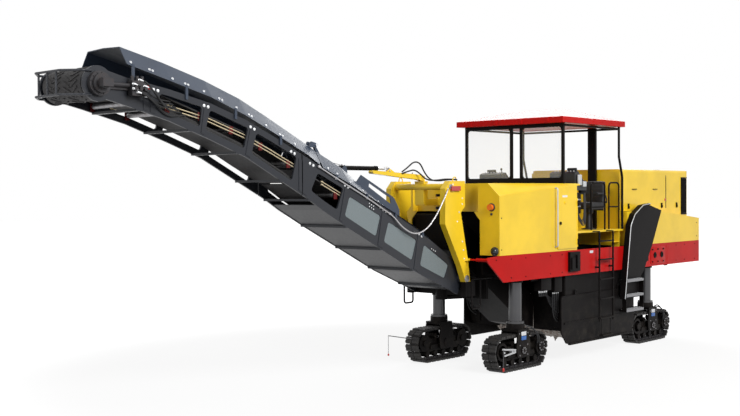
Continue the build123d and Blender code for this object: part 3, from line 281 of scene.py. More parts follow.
grey_mesh = perforated_sheet("grey_mesh", (0.19, 0.225, 0.235), 0.012)
tread_mesh = perforated_sheet("tread_mesh", (0.24, 0.24, 0.25), 0.03)


# %% Hose with a braided cover
def braided_hose(name, color, dark, pitch):
    finish = Finish(name, color, 0.35, metallic=0.7)
    weave = finish.node("ShaderNodeTexWave", {"wave_type": "BANDS", "bands_direction": "DIAGONAL"},
                        Vector=finish.place, Scale=1 / pitch, Distortion=1.5)["Fac"]
    finish.paint(finish.mix(weave, color, dark))
    finish.bump(weave, 0.4, 0.001)
    return finish.material


steel_braid = braided_hose("steel_braid", (0.62, 0.61, 0.62), (0.3, 0.29, 0.3), 0.02)
tan_pipe = bare_steel("tan_pipe", (0.62, 0.52, 0.34), 0.35, 0.0, 0.4)


# %% Plastics, glass, seat cover and lamps
def molded_plastic(name, color, roughness, grain=350.0):
    finish = Finish(name, color, roughness)
    finish.rough((finish.noise(20.0) * 0.1 + roughness).clamped())
    finish.bump(finish.noise(grain, 2.0), 0.15, 0.001)
    return finish.material


def lens(name, color, glow):
    finish = Finish(name, color, 0.15, Coat_Weight=0.6, Coat_Roughness=0.05)
    ribs = finish.node("ShaderNodeTexWave", {"bands_direction": "Y"}, Vector=finish.place,
                       Scale=55.0)["Fac"]
    finish.paint(finish.mix(ribs * 0.35, color, glow))
    finish.bump(ribs, 0.3, 0.002)
    return finish.material


console_plastic = molded_plastic("console_plastic", (0.012, 0.012, 0.014), 0.5)
screen_glass = molded_plastic("screen_glass", (0.01, 0.016, 0.022), 0.12, 20.0)
knob_red = molded_plastic("knob_red", (0.5, 0.02, 0.015), 0.35)
amber_lens = lens("amber_lens", (0.85, 0.14, 0.01), (0.95, 0.3, 0.04))
red_lens = lens("red_lens", (0.42, 0.01, 0.008), (0.65, 0.05, 0.03))

glass = Finish("window_glass", (0.86, 0.9, 0.9), 0.05, Alpha=0.1, Coat_Weight=0.1)
glass.rough((glass.noise(3.0) * 0.05 + 0.03).clamped())
window_glass = glass.material

# %% [markdown]
# A seat is covered in black leathercloth: a fine pebbled grain and a dull sheen.

# %% Leathercloth
cloth = Finish("seat_cover", (0.014, 0.014, 0.015), 0.6)
grain = cloth.node("ShaderNodeTexVoronoi", {"feature": "DISTANCE_TO_EDGE"}, Vector=cloth.place,
                   Scale=260.0)["Distance"]
cloth.rough((cloth.noise(8.0) * 0.2 + 0.5).clamped())
cloth.bump(grain.above(0.0, 0.12), 0.35, 0.0012)
seat_cover = cloth.material

# %% [markdown]
# ## Dress the solids
# Each solid takes its finish by material slot, so a new piece of the same finish matches it. The
# covers are bluer than the frames, and the grab bars are silver, so these three are set by name.

# %% Finishes by slot
finish_of_slot = {
    "yellow_paint": yellow_paint,
    "red_paint": red_paint,
    "dark_paint": slate_paint,
    "black_paint": black_paint,
    "leg_steel": leg_steel,
    "engine_metal": engine_metal,
    "console_plastic": console_plastic,
    "seat_cover": seat_cover,
    "window_glass": window_glass,
    "drum_steel": drum_steel,
    "belt_rubber": belt_rubber,
    "amber_lens": amber_lens,
    "red_lens": red_lens,
    "grey_mesh": grey_mesh,
    "roller_steel": roller_steel,
    "rod_chrome": rod_chrome,
    "track_rubber": track_rubber,
}
for part in frame["record"]["subparts"]:
    for place in nodes[part["node"]].material_slots:
        place.material = finish_of_slot[part["material_slot"]]
for name, material in (("lower_cover", cover_paint), ("upper_cover", cover_paint),
                       ("grab_bars", silver_paint)):
    for place in nodes[name].material_slots:
        place.material = material

# %% [markdown]
# ## Camera
# The machine was photographed from its front left, from about the height of the deck's rail, through
# a normal lens. The place and the turn of the camera were solved from sizes that such machines are
# known to have.

# %% Camera
camera_place = spot(15.356, 12.081, 3.209)
yaw = math.radians(42.138)
pitch = math.radians(-0.825)
roll = math.radians(-0.279)
focal_pixels = 1083.1
picture_width = 740

ahead = Vector((-math.cos(yaw), -math.sin(yaw), 0))
right = Vector((ahead.y, -ahead.x, 0))
upward = Vector((0, 0, 1))
looking = ahead * math.cos(pitch) + upward * math.sin(pitch)
over = upward * math.cos(pitch) - ahead * math.sin(pitch)
camera_right = right * math.cos(roll) + over * math.sin(roll)
camera_up = over * math.cos(roll) - right * math.sin(roll)

camera_data = bpy.data.cameras.new("camera")
camera_data.lens = focal_pixels / picture_width * 36
camera = bpy.data.objects.new("camera", camera_data)
bpy.context.scene.collection.objects.link(camera)
turn = Matrix((camera_right, camera_up, -looking)).transposed()
camera.matrix_world = Matrix.Translation(camera_place) @ turn.to_4x4()
bpy.context.scene.camera = camera
bpy.context.scene.view_settings.view_transform = "Standard"

# %% [markdown]
# ## Studio
# The picture is a cut-out on white with a faint shadow. The floor is dark grey for the light that
# bounces, so the machine's belly stays dark, and white for the camera. A ring mask round the machine
# leaves the shadow in and fades it to plain white far away, so no horizon shows.

# %% Floor
def seen_straight(tree):
    """1 for rays that the camera, a mirror surface or a glass sees, 0 for scattered light."""
    rays = new_node(tree, "ShaderNodeLightPath")
    return (rays["Is Camera Ray"] + rays["Is Glossy Ray"] + rays["Is Transmission Ray"]).clamped()


def studio_floor(size, machine_reach):
    mesh = bpy.data.meshes.new("studio_floor")
    half = size / 2
    corners = [(-half, -half, 0), (half, -half, 0), (half, half, 0), (-half, half, 0)]
    mesh.from_pydata(corners, [], [(0, 1, 2, 3)])
    floor = bpy.data.objects.new("studio_floor", mesh)
    bpy.context.scene.collection.objects.link(floor)
    finish = Finish("studio_white", (0.13, 0.13, 0.13), 0.95, Specular_IOR_Level=0.0,
                    Emission_Color=(1, 1, 1, 1))
    reach = finish.node("ShaderNodeVectorMath", {"operation": "LENGTH"}, Vector=finish.place)["Value"]
    far = reach.above(machine_reach, machine_reach + 6)
    glow = seen_straight(finish.tree) * (far * 0.4 + 0.86)
    put(finish.tree, finish.shader.inputs["Emission Strength"], glow)
    mesh.materials.append(finish.material)


studio_floor(200.0, 6.0)


# %% Lights and world
def area_light(name, place, target, size, power):
    data = bpy.data.lights.new(name, "AREA")
    data.size = size
    data.energy = power
    light = bpy.data.objects.new(name, data)
    bpy.context.scene.collection.objects.link(light)
    light.location = place
    light.rotation_euler = (Vector(target) - Vector(place)).to_track_quat("-Z", "Y").to_euler()


area_light("key", (3, 22, 15), (-2, 0, 1.8), 12.0, 6200.0)
area_light("front", (24, 4, 10), (2, 0, 2.5), 10.0, 1500.0)
area_light("rim", (-18, -10, 14), (-2, 0, 2), 12.0, 2200.0)

world = bpy.data.worlds.new("studio")
bpy.context.scene.world = world
world.use_nodes = True
background = world.node_tree.nodes["Background"]
put(world.node_tree, background.inputs["Strength"], seen_straight(world.node_tree) * 0.74 + 0.26)
background.inputs["Color"].default_value = (1, 1, 1, 1)

# %% [markdown]
# ## A small workshop
# Most fittings are a few rounded blocks, rods and plates in one piece. One class collects them in a
# bmesh and rounds every edge a little, because a real casting or folded sheet has no razor edge and
# the light catches the rounding. A curve gives pipes and hoses.

# %% Closed forms for one piece
class Fitting:
    """Collects closed forms, each with its edges rounded, into one mesh."""

    def __init__(self):
        self.mesh = bmesh.new()

    def take(self, other, rounding=0.0):
        """Adds a closed bmesh, after its edges are rounded."""
        if rounding > 0:
            sharp = [e for e in other.edges if len(e.link_faces) == 2 and e.calc_face_angle() > 0.5]
            bmesh.ops.bevel(other, geom=sharp, offset=rounding, segments=2, profile=0.6, affect="EDGES",
                            clamp_overlap=True)
        data = bpy.data.meshes.new("part")
        other.to_mesh(data)
        self.mesh.from_mesh(data)
        bpy.data.meshes.remove(data)
        other.free()

    def block(self, center, size, rounding=0.004, turn=None):
        """A rounded block. turn is a rotation matrix about its centre."""
        form = bmesh.new()
        bmesh.ops.create_cube(form, size=1.0)
        place = Matrix.Translation(center) @ (turn.to_4x4() if turn else Matrix.Identity(4))
        bmesh.ops.transform(form, matrix=place @ Matrix.Diagonal((*size, 1)), verts=form.verts)
        self.take(form, rounding)

    def rod(self, start, end, radius, sides=16, rounding=0.0, end_radius=None):
        start, end = Vector(start), Vector(end)
        form = bmesh.new()
        along = end - start
        bmesh.ops.create_cone(form, cap_ends=True, segments=sides, radius1=radius,
                              radius2=radius if end_radius is None else end_radius, depth=along.length)
        turn = along.to_track_quat("Z", "Y").to_matrix().to_4x4()
        bmesh.ops.transform(form, matrix=Matrix.Translation((start + end) / 2) @ turn, verts=form.verts)
        self.take(form, rounding)

    def plate(self, outline, thickness, rounding=0.002):
        """A flat plate: its outline as points in one plane, and the vector that it is thick by."""
        form = bmesh.new()
        low = [form.verts.new(p) for p in outline]
        high = [form.verts.new(Vector(p) + Vector(thickness)) for p in outline]
        form.faces.new(low)
        form.faces.new(list(reversed(high)))
        for i in range(len(low)):
            j = (i + 1) % len(low)
            form.faces.new((low[j], low[i], high[i], high[j]))
        bmesh.ops.recalc_face_normals(form, faces=form.faces)
        self.take(form, rounding)

    def lathe(self, start, axis, profile, sides=24):
        """A turned form: profile is (distance along the axis, radius) from one end to the other."""
        form = bmesh.new()
        turn = Vector(axis).to_track_quat("Z", "Y").to_matrix().to_4x4()
        rings = []
        for along, radius in profile:
            ring = []
            for i in range(sides):
                angle = 2 * math.pi * i / sides
                ring.append(form.verts.new((radius * math.cos(angle), radius * math.sin(angle), along)))
            rings.append(ring)
        for low, high in zip(rings, rings[1:]):
            for i in range(sides):
                j = (i + 1) % sides
                form.faces.new((low[i], low[j], high[j], high[i]))
        form.faces.new(list(reversed(rings[0])))
        form.faces.new(rings[-1])
        bmesh.ops.recalc_face_normals(form, faces=form.faces)
        bmesh.ops.transform(form, matrix=Matrix.Translation(start) @ turn, verts=form.verts)
        self.take(form)

    def tube(self, points, radius, smooth=True, sides=3):
        """A pipe or hose along points, its ends closed."""
        obj = curve_object("tube", points, radius, smooth, sides)
        graph = bpy.context.evaluated_depsgraph_get()
        data = bpy.data.meshes.new_from_object(obj.evaluated_get(graph), depsgraph=graph)
        form = bmesh.new()
        form.from_mesh(data)
        bmesh.ops.remove_doubles(form, verts=form.verts, dist=1e-5)
        bmesh.ops.recalc_face_normals(form, faces=form.faces)
        bpy.data.meshes.remove(data)
        bpy.data.objects.remove(obj)
        self.take(form)

    def finish(self, name, body, slot, material=None, smooth_under=0.6):
        """Makes the piece, shades it, and lets it ride on its body."""
        for face in self.mesh.faces:
            face.smooth = True
        for edge in self.mesh.edges:
            if len(edge.link_faces) == 2 and edge.calc_face_angle() > smooth_under:
                edge.smooth = False
        data = bpy.data.meshes.new(name)
        self.mesh.to_mesh(data)
        self.mesh.free()
        return ready(bpy.data.objects.new(name, data), body, slot, material)


def curve_object(name, points, radius, smooth=True, sides=3):
    """A curve of one spline through or along points, with a round section."""
    data = bpy.data.curves.new(name, "CURVE")
    data.dimensions = "3D"
    data.bevel_depth = radius
    data.bevel_resolution = sides
    data.resolution_u = 8
    data.use_fill_caps = True
    spline = data.splines.new("NURBS" if smooth else "POLY")
    spline.points.add(len(points) - 1)
    for i, point in enumerate(points):
        spline.points[i].co = (*point, 1)
    if smooth:
        spline.order_u = 3
        spline.use_endpoint_u = True
    obj = bpy.data.objects.new(name, data)
    bpy.context.scene.collection.objects.link(obj)
    return obj


def ready(obj, body, slot, material=None):
    """Links a finished piece, gives it its finish, and makes it ride on a body."""
    if obj.name not in bpy.context.scene.collection.objects:
        bpy.context.scene.collection.objects.link(obj)
    if not obj.data.materials:
        obj.data.materials.append(material or finish_of_slot[slot])
    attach(obj, body)
    return obj


# %% [markdown]
# A fitting must sit on what carries it. A ray shot at a solid finds the exact place and the way its
# surface faces, so a bolt head never floats or sinks.

# %% Seats on the solids
surfaces = {}


def touch(names, start, direction):
    """Where a ray first meets one of the named solids: the place and the outward direction there."""
    best = None
    for name in names.split():
        if name not in surfaces:
            data = nodes[name].data
            corners = [nodes[name].matrix_world @ v.co for v in data.vertices]
            surfaces[name] = BVHTree.FromPolygons(corners, [tuple(p.vertices) for p in data.polygons])
        hit = surfaces[name].ray_cast(Vector(start), Vector(direction).normalized())
        place, normal, away = hit[0], hit[1], hit[3]
        if place is not None and (best is None or away < best[2]):
            best = (place, normal, away)
    if best is None:
        return None
    place, normal, away = best
    return place, (normal if normal.dot(Vector(direction)) < 0 else -normal)


def from_side(names, x, z, side=1):
    """Where the solids are first met from the left, side 1, or from the right, side -1."""
    return touch(names, spot(x, side * 3.0, z), (0, -side, 0))


def from_above(names, x, y):
    """Where the solids are first met from above."""
    return touch(names, spot(x, y, 5.2), (0, 0, -1))


def side_seats(names, places):
    """Seats seen straight from the left and the right, for places given as (x, z)."""
    found = [from_side(names, x, z, side) for x, z in places for side in (1, -1)]
    return [seat for seat in found if seat]


# %% [markdown]
# ## Things that repeat
# Bolts, slats, treads and track pads repeat hundreds of times, so Geometry Nodes place them: the
# points carry a turn, one shape is stamped on each, and the copies are made real at the end.

# %% A Geometry Nodes tree with named inputs
class Recipe:
    """A Geometry Nodes tree under construction."""

    kinds = {"float": "NodeSocketFloat", "int": "NodeSocketInt", "object": "NodeSocketObject",
             "material": "NodeSocketMaterial"}

    def __init__(self, name, **inputs):
        self.tree = bpy.data.node_groups.new(name, "GeometryNodeTree")
        face = self.tree.interface
        face.new_socket("Geometry", in_out="INPUT", socket_type="NodeSocketGeometry")
        face.new_socket("Geometry", in_out="OUTPUT", socket_type="NodeSocketGeometry")
        self.keys = {}
        for key, kind in inputs.items():
            made = face.new_socket(key, in_out="INPUT", socket_type=self.kinds[kind])
            self.keys[key] = made.identifier
        self.given = new_node(self.tree, "NodeGroupInput")

    def node(self, kind, settings=None, **inputs):
        return new_node(self.tree, kind, settings, **inputs)

    def join(self, *parts):
        made = self.tree.nodes.new("GeometryNodeJoinGeometry")
        for part in parts:
            self.tree.links.new(part.socket, made.inputs[0])
        return Value(self.tree, made.outputs[0])

    def close(self, geometry):
        """Ends the tree: copies made real, with the material set."""
        real = self.node("GeometryNodeRealizeInstances", Geometry=geometry)["Geometry"]
        done = self.node("GeometryNodeSetMaterial", Geometry=real,
                         Material=self.given["Material"])["Geometry"]
        out = self.tree.nodes.new("NodeGroupOutput")
        self.tree.links.new(done.socket, out.inputs[0])

    def grow(self, name, places, body, slot, **settings):
        """Stamps the recipe on places, each a point and a rotation, and bakes it to a plain mesh."""
        data = bpy.data.meshes.new(name + "_places")
        data.from_pydata([tuple(p) for p, r in places], [], [])
        turns = data.attributes.new("turn", "FLOAT_VECTOR", "POINT")
        for i, (p, rotation) in enumerate(places):
            turns.data[i].vector = rotation.to_euler()
        seed = bpy.data.objects.new(name + "_places", data)
        bpy.context.scene.collection.objects.link(seed)
        modifier = seed.modifiers.new("recipe", "NODES")
        modifier.node_group = self.tree
        for key, value in settings.items():
            modifier[self.keys[key]] = value
        graph = bpy.context.evaluated_depsgraph_get()
        mesh = bpy.data.meshes.new_from_object(seed.evaluated_get(graph), depsgraph=graph)
        mesh.name = name
        bpy.data.objects.remove(seed)
        return ready(bpy.data.objects.new(name, mesh), body, slot)


def stamped(recipe, shape):
    """The nodes that put a shape on every place, turned by the place's own turn."""
    turn = recipe.node("GeometryNodeInputNamedAttribute", {"data_type": "FLOAT_VECTOR"},
                       Name="turn")["Attribute"]
    rotation = recipe.node("FunctionNodeEulerToRotation", Euler=turn)["Rotation"]
    return recipe.node("GeometryNodeInstanceOnPoints", Points=recipe.given["Geometry"], Instance=shape,
                       Rotation=rotation)["Instances"]


# %% Bolt heads and shaped stamps
bolt_recipe = Recipe("bolt_heads", Radius="float", Height="float", Material="material")
size = bolt_recipe.given
head = bolt_recipe.node("GeometryNodeMeshCylinder", Vertices=6, Radius=size["Radius"],
                        Depth=size["Height"] * 2)["Mesh"]
washer = bolt_recipe.node("GeometryNodeMeshCylinder", Vertices=16, Radius=size["Radius"] * 1.45,
                          Depth=size["Height"] * 0.5)["Mesh"]
bolt_recipe.close(stamped(bolt_recipe, bolt_recipe.join(head, washer)))

stamp_recipe = Recipe("stamps", Shape="object", Material="material")
shape_given = stamp_recipe.node("GeometryNodeObjectInfo", Object=stamp_recipe.given["Shape"])["Geometry"]
stamp_recipe.close(stamped(stamp_recipe, shape_given))


def facing(place, outward):
    """A place whose own Z points outward."""
    return place, outward.to_track_quat("Z", "Y")


def bolts(name, body, slot, seats, radius=0.012, height=0.01, material=None):
    places = [facing(place, outward) for place, outward in seats]
    print(name, len(places), "bolts")
    return bolt_recipe.grow(name, places, body, slot, Radius=radius, Height=height,
                            Material=material or bolt_zinc)


def stamps(name, body, slot, fitting, places, material):
    """Stamps one fitting's mesh on many places."""
    for face in fitting.mesh.faces:
        face.smooth = False
    data = bpy.data.meshes.new(name + "_shape")
    fitting.mesh.to_mesh(data)
    fitting.mesh.free()
    shape = bpy.data.objects.new(name + "_shape", data)
    bpy.context.scene.collection.objects.link(shape)
    made = stamp_recipe.grow(name, places, body, slot, Shape=shape, Material=material)
    bpy.data.objects.remove(shape)
    print(name, len(places), "copies")
    return made


# %% [markdown]
# ## Conveyor
# The side frames are cut from plate, with a row of windows. Two grease pipes run behind them, steel
# rollers carry the belt, and zinc bolts hold the cover's posts. The heights along the conveyor come
# from two short tables, and the bolts themselves are seated by rays.

# %% Lines along the conveyor
frame_line = [(0.28, 1.93), (1.37, 2.59), (2.0, 2.88), (3.06, 3.35), (3.93, 3.725), (4.66, 4.04),
              (5.17, 4.245), (5.8, 4.44), (6.5, 4.585), (7.18, 4.69), (7.6, 4.79)]
cover_line = [(0.43, 2.051), (1.37, 2.591), (2.0, 2.881), (3.06, 3.351), (3.62, 3.581), (3.93, 3.76),
              (4.66, 4.085), (5.17, 4.3), (5.8, 4.52), (6.5, 4.695), (7.18, 4.86), (7.6, 4.96)]
fold_x = 3.65


def along(line, x):
    """Height on a line of (x, z) points."""
    for (x_low, z_low), (x_high, z_high) in zip(line, line[1:]):
        if x <= x_high:
            return z_low + (z_high - z_low) * (x - x_low) / (x_high - x_low)
    return line[-1][1]


# %% Bolts of the covers and posts
def line_places(line, x_list, drop):
    """Places (x, z) on a line, drop metres under it."""
    return [(x, along(line, x) - drop) for x in x_list]


def pairs(x_list, half_gap=0.035):
    """Two bolts beside each place, half_gap to its left and right."""
    return [x + d for x in x_list for d in (-half_gap, half_gap)]


cover_lift = 0.05
post_drop = 0.06
lower_cover_x = [0.7, 1.1, 1.5, 1.9, 2.3, 2.7, 3.0, 3.3, 3.5]
upper_cover_x = [4.2, 4.45, 4.5, 4.77, 5.05, 5.1, 5.33, 5.59, 5.64, 5.91, 6.18, 6.23, 6.44, 6.76, 6.81,
                 7.1, 7.35]
cluster_x_z = ((0.95, 2.15), (2.52, 2.94), (3.42, 3.28))
cluster_steps = ((-0.05, 0.0), (0.0, 0.02), (0.05, 0.045), (-0.05, 0.05), (0.0, 0.07), (0.05, 0.095))
clusters = [(x + dx, z + dz) for x, z in cluster_x_z for dx, dz in cluster_steps]
lower_covers = line_places(cover_line, lower_cover_x, -cover_lift)
upper_covers = line_places(cover_line, upper_cover_x, -cover_lift)
lower_posts = line_places(frame_line, pairs([1.30, 2.205, 3.10, 3.86]), post_drop)
upper_posts = line_places(frame_line, pairs([5.04, 5.88, 4.25, 6.72]), post_drop)
for name, part, places, radius, height in (
    ("cover_bolts_lower", "lower_cover", lower_covers, 0.013, 0.012),
    ("cover_bolts_upper", "upper_cover", upper_covers, 0.013, 0.012),
    ("post_bolts_lower", "lower_frame", lower_posts, 0.015, 0.012),
    ("post_bolts_upper", "upper_frame", upper_posts, 0.015, 0.012),
    ("frame_bolts_lower", "lower_frame", clusters, 0.007, 0.006),
):
    body = "conveyor_" + part.split("_")[0]
    bolts(name, body, "dark_paint", side_seats(part, places), radius, height)


# %% [markdown]
# Each roller is a steel tube on a shaft, held by a red bracket at both ends, its red darkened as painted
# shade. A ray from below finds the belt, so the rollers touch it from underneath all the way up.

# %% Belt rollers
def rollers(name, body, belt, x_list, start_height):
    """Rollers under one run of the belt, found by a ray upwards from just under it."""
    tubes = Fitting()
    brackets = Fitting()
    radius = 0.038
    slack = 0.002
    for x in x_list:
        belt_under = touch(belt, spot(x, 0.2, along(frame_line, x) - start_height), (0, 0, 1))[0]
        axis_z = belt_under.z - radius - slack
        for reach, thick, sides, rounding in ((0.41, radius, 20, 0.004), (0.455, 0.014, 12, 0.0)):
            tubes.rod(spot(x, -reach, axis_z), spot(x, reach, axis_z), thick, sides, rounding)
        for side in (1, -1):
            brackets.block(spot(x, side * 0.448, axis_z - 0.01), (0.07, 0.02, 0.11), 0.004)
    tubes.finish(name, body, "roller_steel")
    # The brackets take the darker copy of the red: painted shade inside the conveyor.
    brackets.finish(name + "_brackets", body, "red_paint", shade_darkened_red_paint)


rollers("carry_rollers_lower", "conveyor_lower", "lower_belt", [0.9, 1.5, 2.1, 2.7, 3.3], 0.42)
rollers("carry_rollers_upper", "conveyor_upper", "upper_belt", [4.3, 4.85, 5.4, 5.95, 6.5, 7.05], 0.28)


# %% Grease pipes behind the windows
def grease_pipes(name, body, x_list):
    pipes = Fitting()
    for side in (1, -1):
        for drop in (0.205, 0.25):
            points = [spot(x, side * 0.452, along(frame_line, x) - drop) for x in x_list]
            pipes.tube(points, 0.0085, smooth=False)
            for end in (points[0], points[-1]):
                pipes.lathe(end, (1, 0, 0), [(-0.02, 0.012), (0.02, 0.012)], 6)
    pipes.finish(name, body, "rod_chrome", tan_pipe)


grease_pipes("grease_pipes_lower", "conveyor_lower", [1.3, 1.37, 2.0, 3.06, 3.6])
grease_pipes("grease_pipes_upper", "conveyor_upper", [4.15, 4.66, 5.17, 5.8, 6.5, 6.75])

# %% [markdown]
# ## Hoses
# A braided hose brings oil from the gantry's post to the conveyor. It is clipped along the frame,
# then hangs in a free loop that gives it length to follow the tilt. The free loop is made a plain
# mesh that rides on no body, though its ends move apart when the conveyor tilts.

# %% Braided hose along the conveyor
hose_y = 0.522
clipped = [(3.72, 3.60), (3.35, 3.43), (3.05, 3.30), (2.64, 3.12), (2.33, 2.97), (2.1, 2.86)]
run = Fitting()
run.tube([spot(x, hose_y, z) for x, z in clipped], 0.012)
for x, z in clipped[1:-1]:
    run.block(spot(x, hose_y - 0.018, z), (0.03, 0.034, 0.04), 0.003)
ferrule = [(0, 0.017), (0.02, 0.021), (0.045, 0.021), (0.06, 0.015)]
for x, z in (clipped[0], clipped[-1]):
    run.lathe(spot(x - 0.03, hose_y, z - 0.014), (1, 0, 0.45), ferrule, 12)
run.finish("braided_hose_run", "conveyor_lower", "rod_chrome", steel_braid)

loop = [(2.1, 0.522, 2.86), (2.0, 0.524, 2.81), (1.82, 0.56, 2.62), (1.56, 0.6, 2.5), (1.3, 0.64, 2.58),
        (1.1, 0.68, 2.8), (0.93, 0.7, 3.05), (0.84, 0.7, 3.18), (0.78, 0.69, 3.26)]


def spline_points(obj):
    """Points on a curve's own line, as Blender draws it with no section."""
    depth = obj.data.bevel_depth
    obj.data.bevel_depth = 0
    graph = bpy.context.evaluated_depsgraph_get()
    line = bpy.data.meshes.new_from_object(obj.evaluated_get(graph), depsgraph=graph)
    corners = [v.co.copy() for v in line.vertices]
    bpy.data.meshes.remove(line)
    obj.data.bevel_depth = depth
    return corners


def free_hose(name, points, radius, body, slot, material, bends_to=None):
    """A hose held at both ends. With bends_to it is made a plain mesh on no body; otherwise it rides on
    its body.
    """
    points = [spot(*p) for p in points]
    obj = curve_object(name, points, radius, True, 4)
    line = spline_points(obj)
    if bends_to:
        graph = bpy.context.evaluated_depsgraph_get()
        bpy.context.view_layer.update()
        mesh = bpy.data.meshes.new_from_object(obj.evaluated_get(graph), depsgraph=graph)
        bpy.data.objects.remove(obj)
        obj = bpy.data.objects.new(name, mesh)
        bpy.context.scene.collection.objects.link(obj)
        mesh.materials.clear()
        mesh.materials.append(material)
        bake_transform(obj)
    else:
        obj.data.materials.append(material)
        ready(obj, body, slot)


free_hose("braided_hose", loop, 0.012, "conveyor_lower", "rod_chrome", steel_braid, "slewing_gantry")

# %% Black hoses on the gantry
arm_hoses = {
    "arm_hose_1": [(1.25, 0.06, 3.56), (1.12, 0.06, 3.62), (0.95, 0.07, 3.74), (0.8, 0.09, 3.72),
                   (0.72, 0.12, 3.55), (0.66, 0.2, 3.42), (0.6, 0.35, 3.4), (0.5, 0.5, 3.43),
                   (0.42, 0.6, 3.42)],
    "arm_hose_2": [(1.25, 0.06, 3.53), (1.1, 0.075, 3.57), (0.95, 0.09, 3.6), (0.82, 0.12, 3.52),
                   (0.76, 0.2, 3.42), (0.68, 0.35, 3.41), (0.56, 0.5, 3.44), (0.46, 0.64, 3.42)],
}
for name, points in arm_hoses.items():
    free_hose(name, points, 0.013, "slewing_gantry", "belt_rubber", hose_rubber)

# %% [markdown]
# ## Tracks
# A crawler runs on a chain of links with a rubber pad bolted on each. The chain goes round an
# end wheel at both sides and under the ground rollers, which is the hull round four circles. Each
# link gets one pad and one pair of link plates, stamped on the middle of its straight.

# %% Path of one chain
track_end = (0.57, 0.37, 0.235)
track_ground = (0.6, 0.135, 0.09)
shoe_count = 26
track_half = 0.15


def hull_line(circles, steps=160):
    """Closed line round circles given as (x, z, radius), as a list of (x, z)."""
    points = []
    for i in range(steps):
        angle = 2 * math.pi * i / steps
        out = (math.cos(angle), math.sin(angle))
        x, z, radius = max(circles, key=lambda c: c[0] * out[0] + c[1] * out[1] + c[2])
        points.append((x + radius * out[0], z + radius * out[1]))
    return points


def evenly(points, count):
    """Points at equal steps along a closed line."""
    closed = points + points[:1]
    steps = [math.dist(a, b) for a, b in zip(closed, closed[1:])]
    pitch = sum(steps) / count
    found = []
    done = 0.0
    for (a, b), step in zip(zip(closed, closed[1:]), steps):
        while step > 0 and len(found) * pitch <= done + step and len(found) < count:
            share = (len(found) * pitch - done) / step
            found.append((a[0] + (b[0] - a[0]) * share, a[1] + (b[1] - a[1]) * share))
        done += step
    return found, pitch


circles = [(side * x, z, r) for x, z, r in (track_end, track_ground) for side in (1, -1)]
joints, pitch_length = evenly(hull_line(circles), shoe_count)
print("chain pitch", round(pitch_length, 4))


def link_places(center):
    """One place per link: its own Z points out of the loop, its own X along the chain."""
    places = []
    for a, b in zip(joints, joints[1:] + joints[:1]):
        ahead_of = Vector((b[0] - a[0], 0, b[1] - a[1])).normalized()
        out = Vector((ahead_of.z, 0, -ahead_of.x))
        across_it = out.cross(ahead_of)
        rotation = Matrix((ahead_of, across_it, out)).transposed()
        middle = Vector(((a[0] + b[0]) / 2, 0, (a[1] + b[1]) / 2))
        places.append((middle + center, rotation))
    return places


# %% Pads and links
def pad_shape():
    """A rubber shoe of two halves on a steel plate, each half with a groove across its middle."""
    pad = Fitting()
    half = pitch_length / 2 - 0.005
    pad.block((0, 0, 0.004), (2 * half, 2 * track_half - 0.012, 0.012), 0.002)
    low, high = -half + 0.006, half - 0.006
    top = 0.0445
    outline = [(low, 0.009), (high, 0.009), (high - 0.004, top - 0.014), (high - 0.016, top),
               (0.012, top), (0.006, top - 0.008), (-0.006, top - 0.008), (-0.012, top),
               (low + 0.016, top), (low + 0.004, top - 0.014)]
    for y in (-track_half + 0.004, 0.006):
        pad.plate([(x, y, z) for x, z in outline], (0, track_half - 0.01, 0), 0.003)
    return pad


def chain_shape():
    """Two pairs of link plates with their pin and four pad screws."""
    link = Fitting()
    half = pitch_length / 2
    for side in (1, -1):
        link.block((0, side * 0.05, -0.018), (2 * half - 0.02, 0.018, 0.034), 0.004)
        link.block((0.02, side * 0.032, -0.02), (2 * half - 0.03, 0.014, 0.03), 0.004)
        for x in (-half * 0.5, half * 0.5):
            link.rod((x, side * 0.085, 0.0), (x, side * 0.085, -0.014), 0.011, 6)
    link.rod((half, -0.068, -0.018), (half, 0.068, -0.018), 0.013, 14)
    return link


def track_center(name):
    """The middle of a track's box."""
    low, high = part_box("track_" + name)
    return (Vector(low) + Vector(high)) / 2


crawler_sides = {"front_left": 1, "front_right": -1, "rear_left": 1, "rear_right": -1}
for name in crawler_sides:
    center = track_center(name)
    center.z = 0
    places = link_places(center)
    body = "crawler_" + name
    pads = stamps("track_pads_" + name, body, "track_rubber", pad_shape(), places, track_rubber)
    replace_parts(pads, "track_" + name)
    stamps("track_links_" + name, body, "roller_steel", chain_shape(), places, engine_metal)

# %% [markdown]
# ## Crawler fittings
# Two blank plates, a white one and a blue one, sit on each crawler's frame. A pair of hoses feeds
# each drive motor, and a feeler with a red tip hangs from the front left crawler's frame.

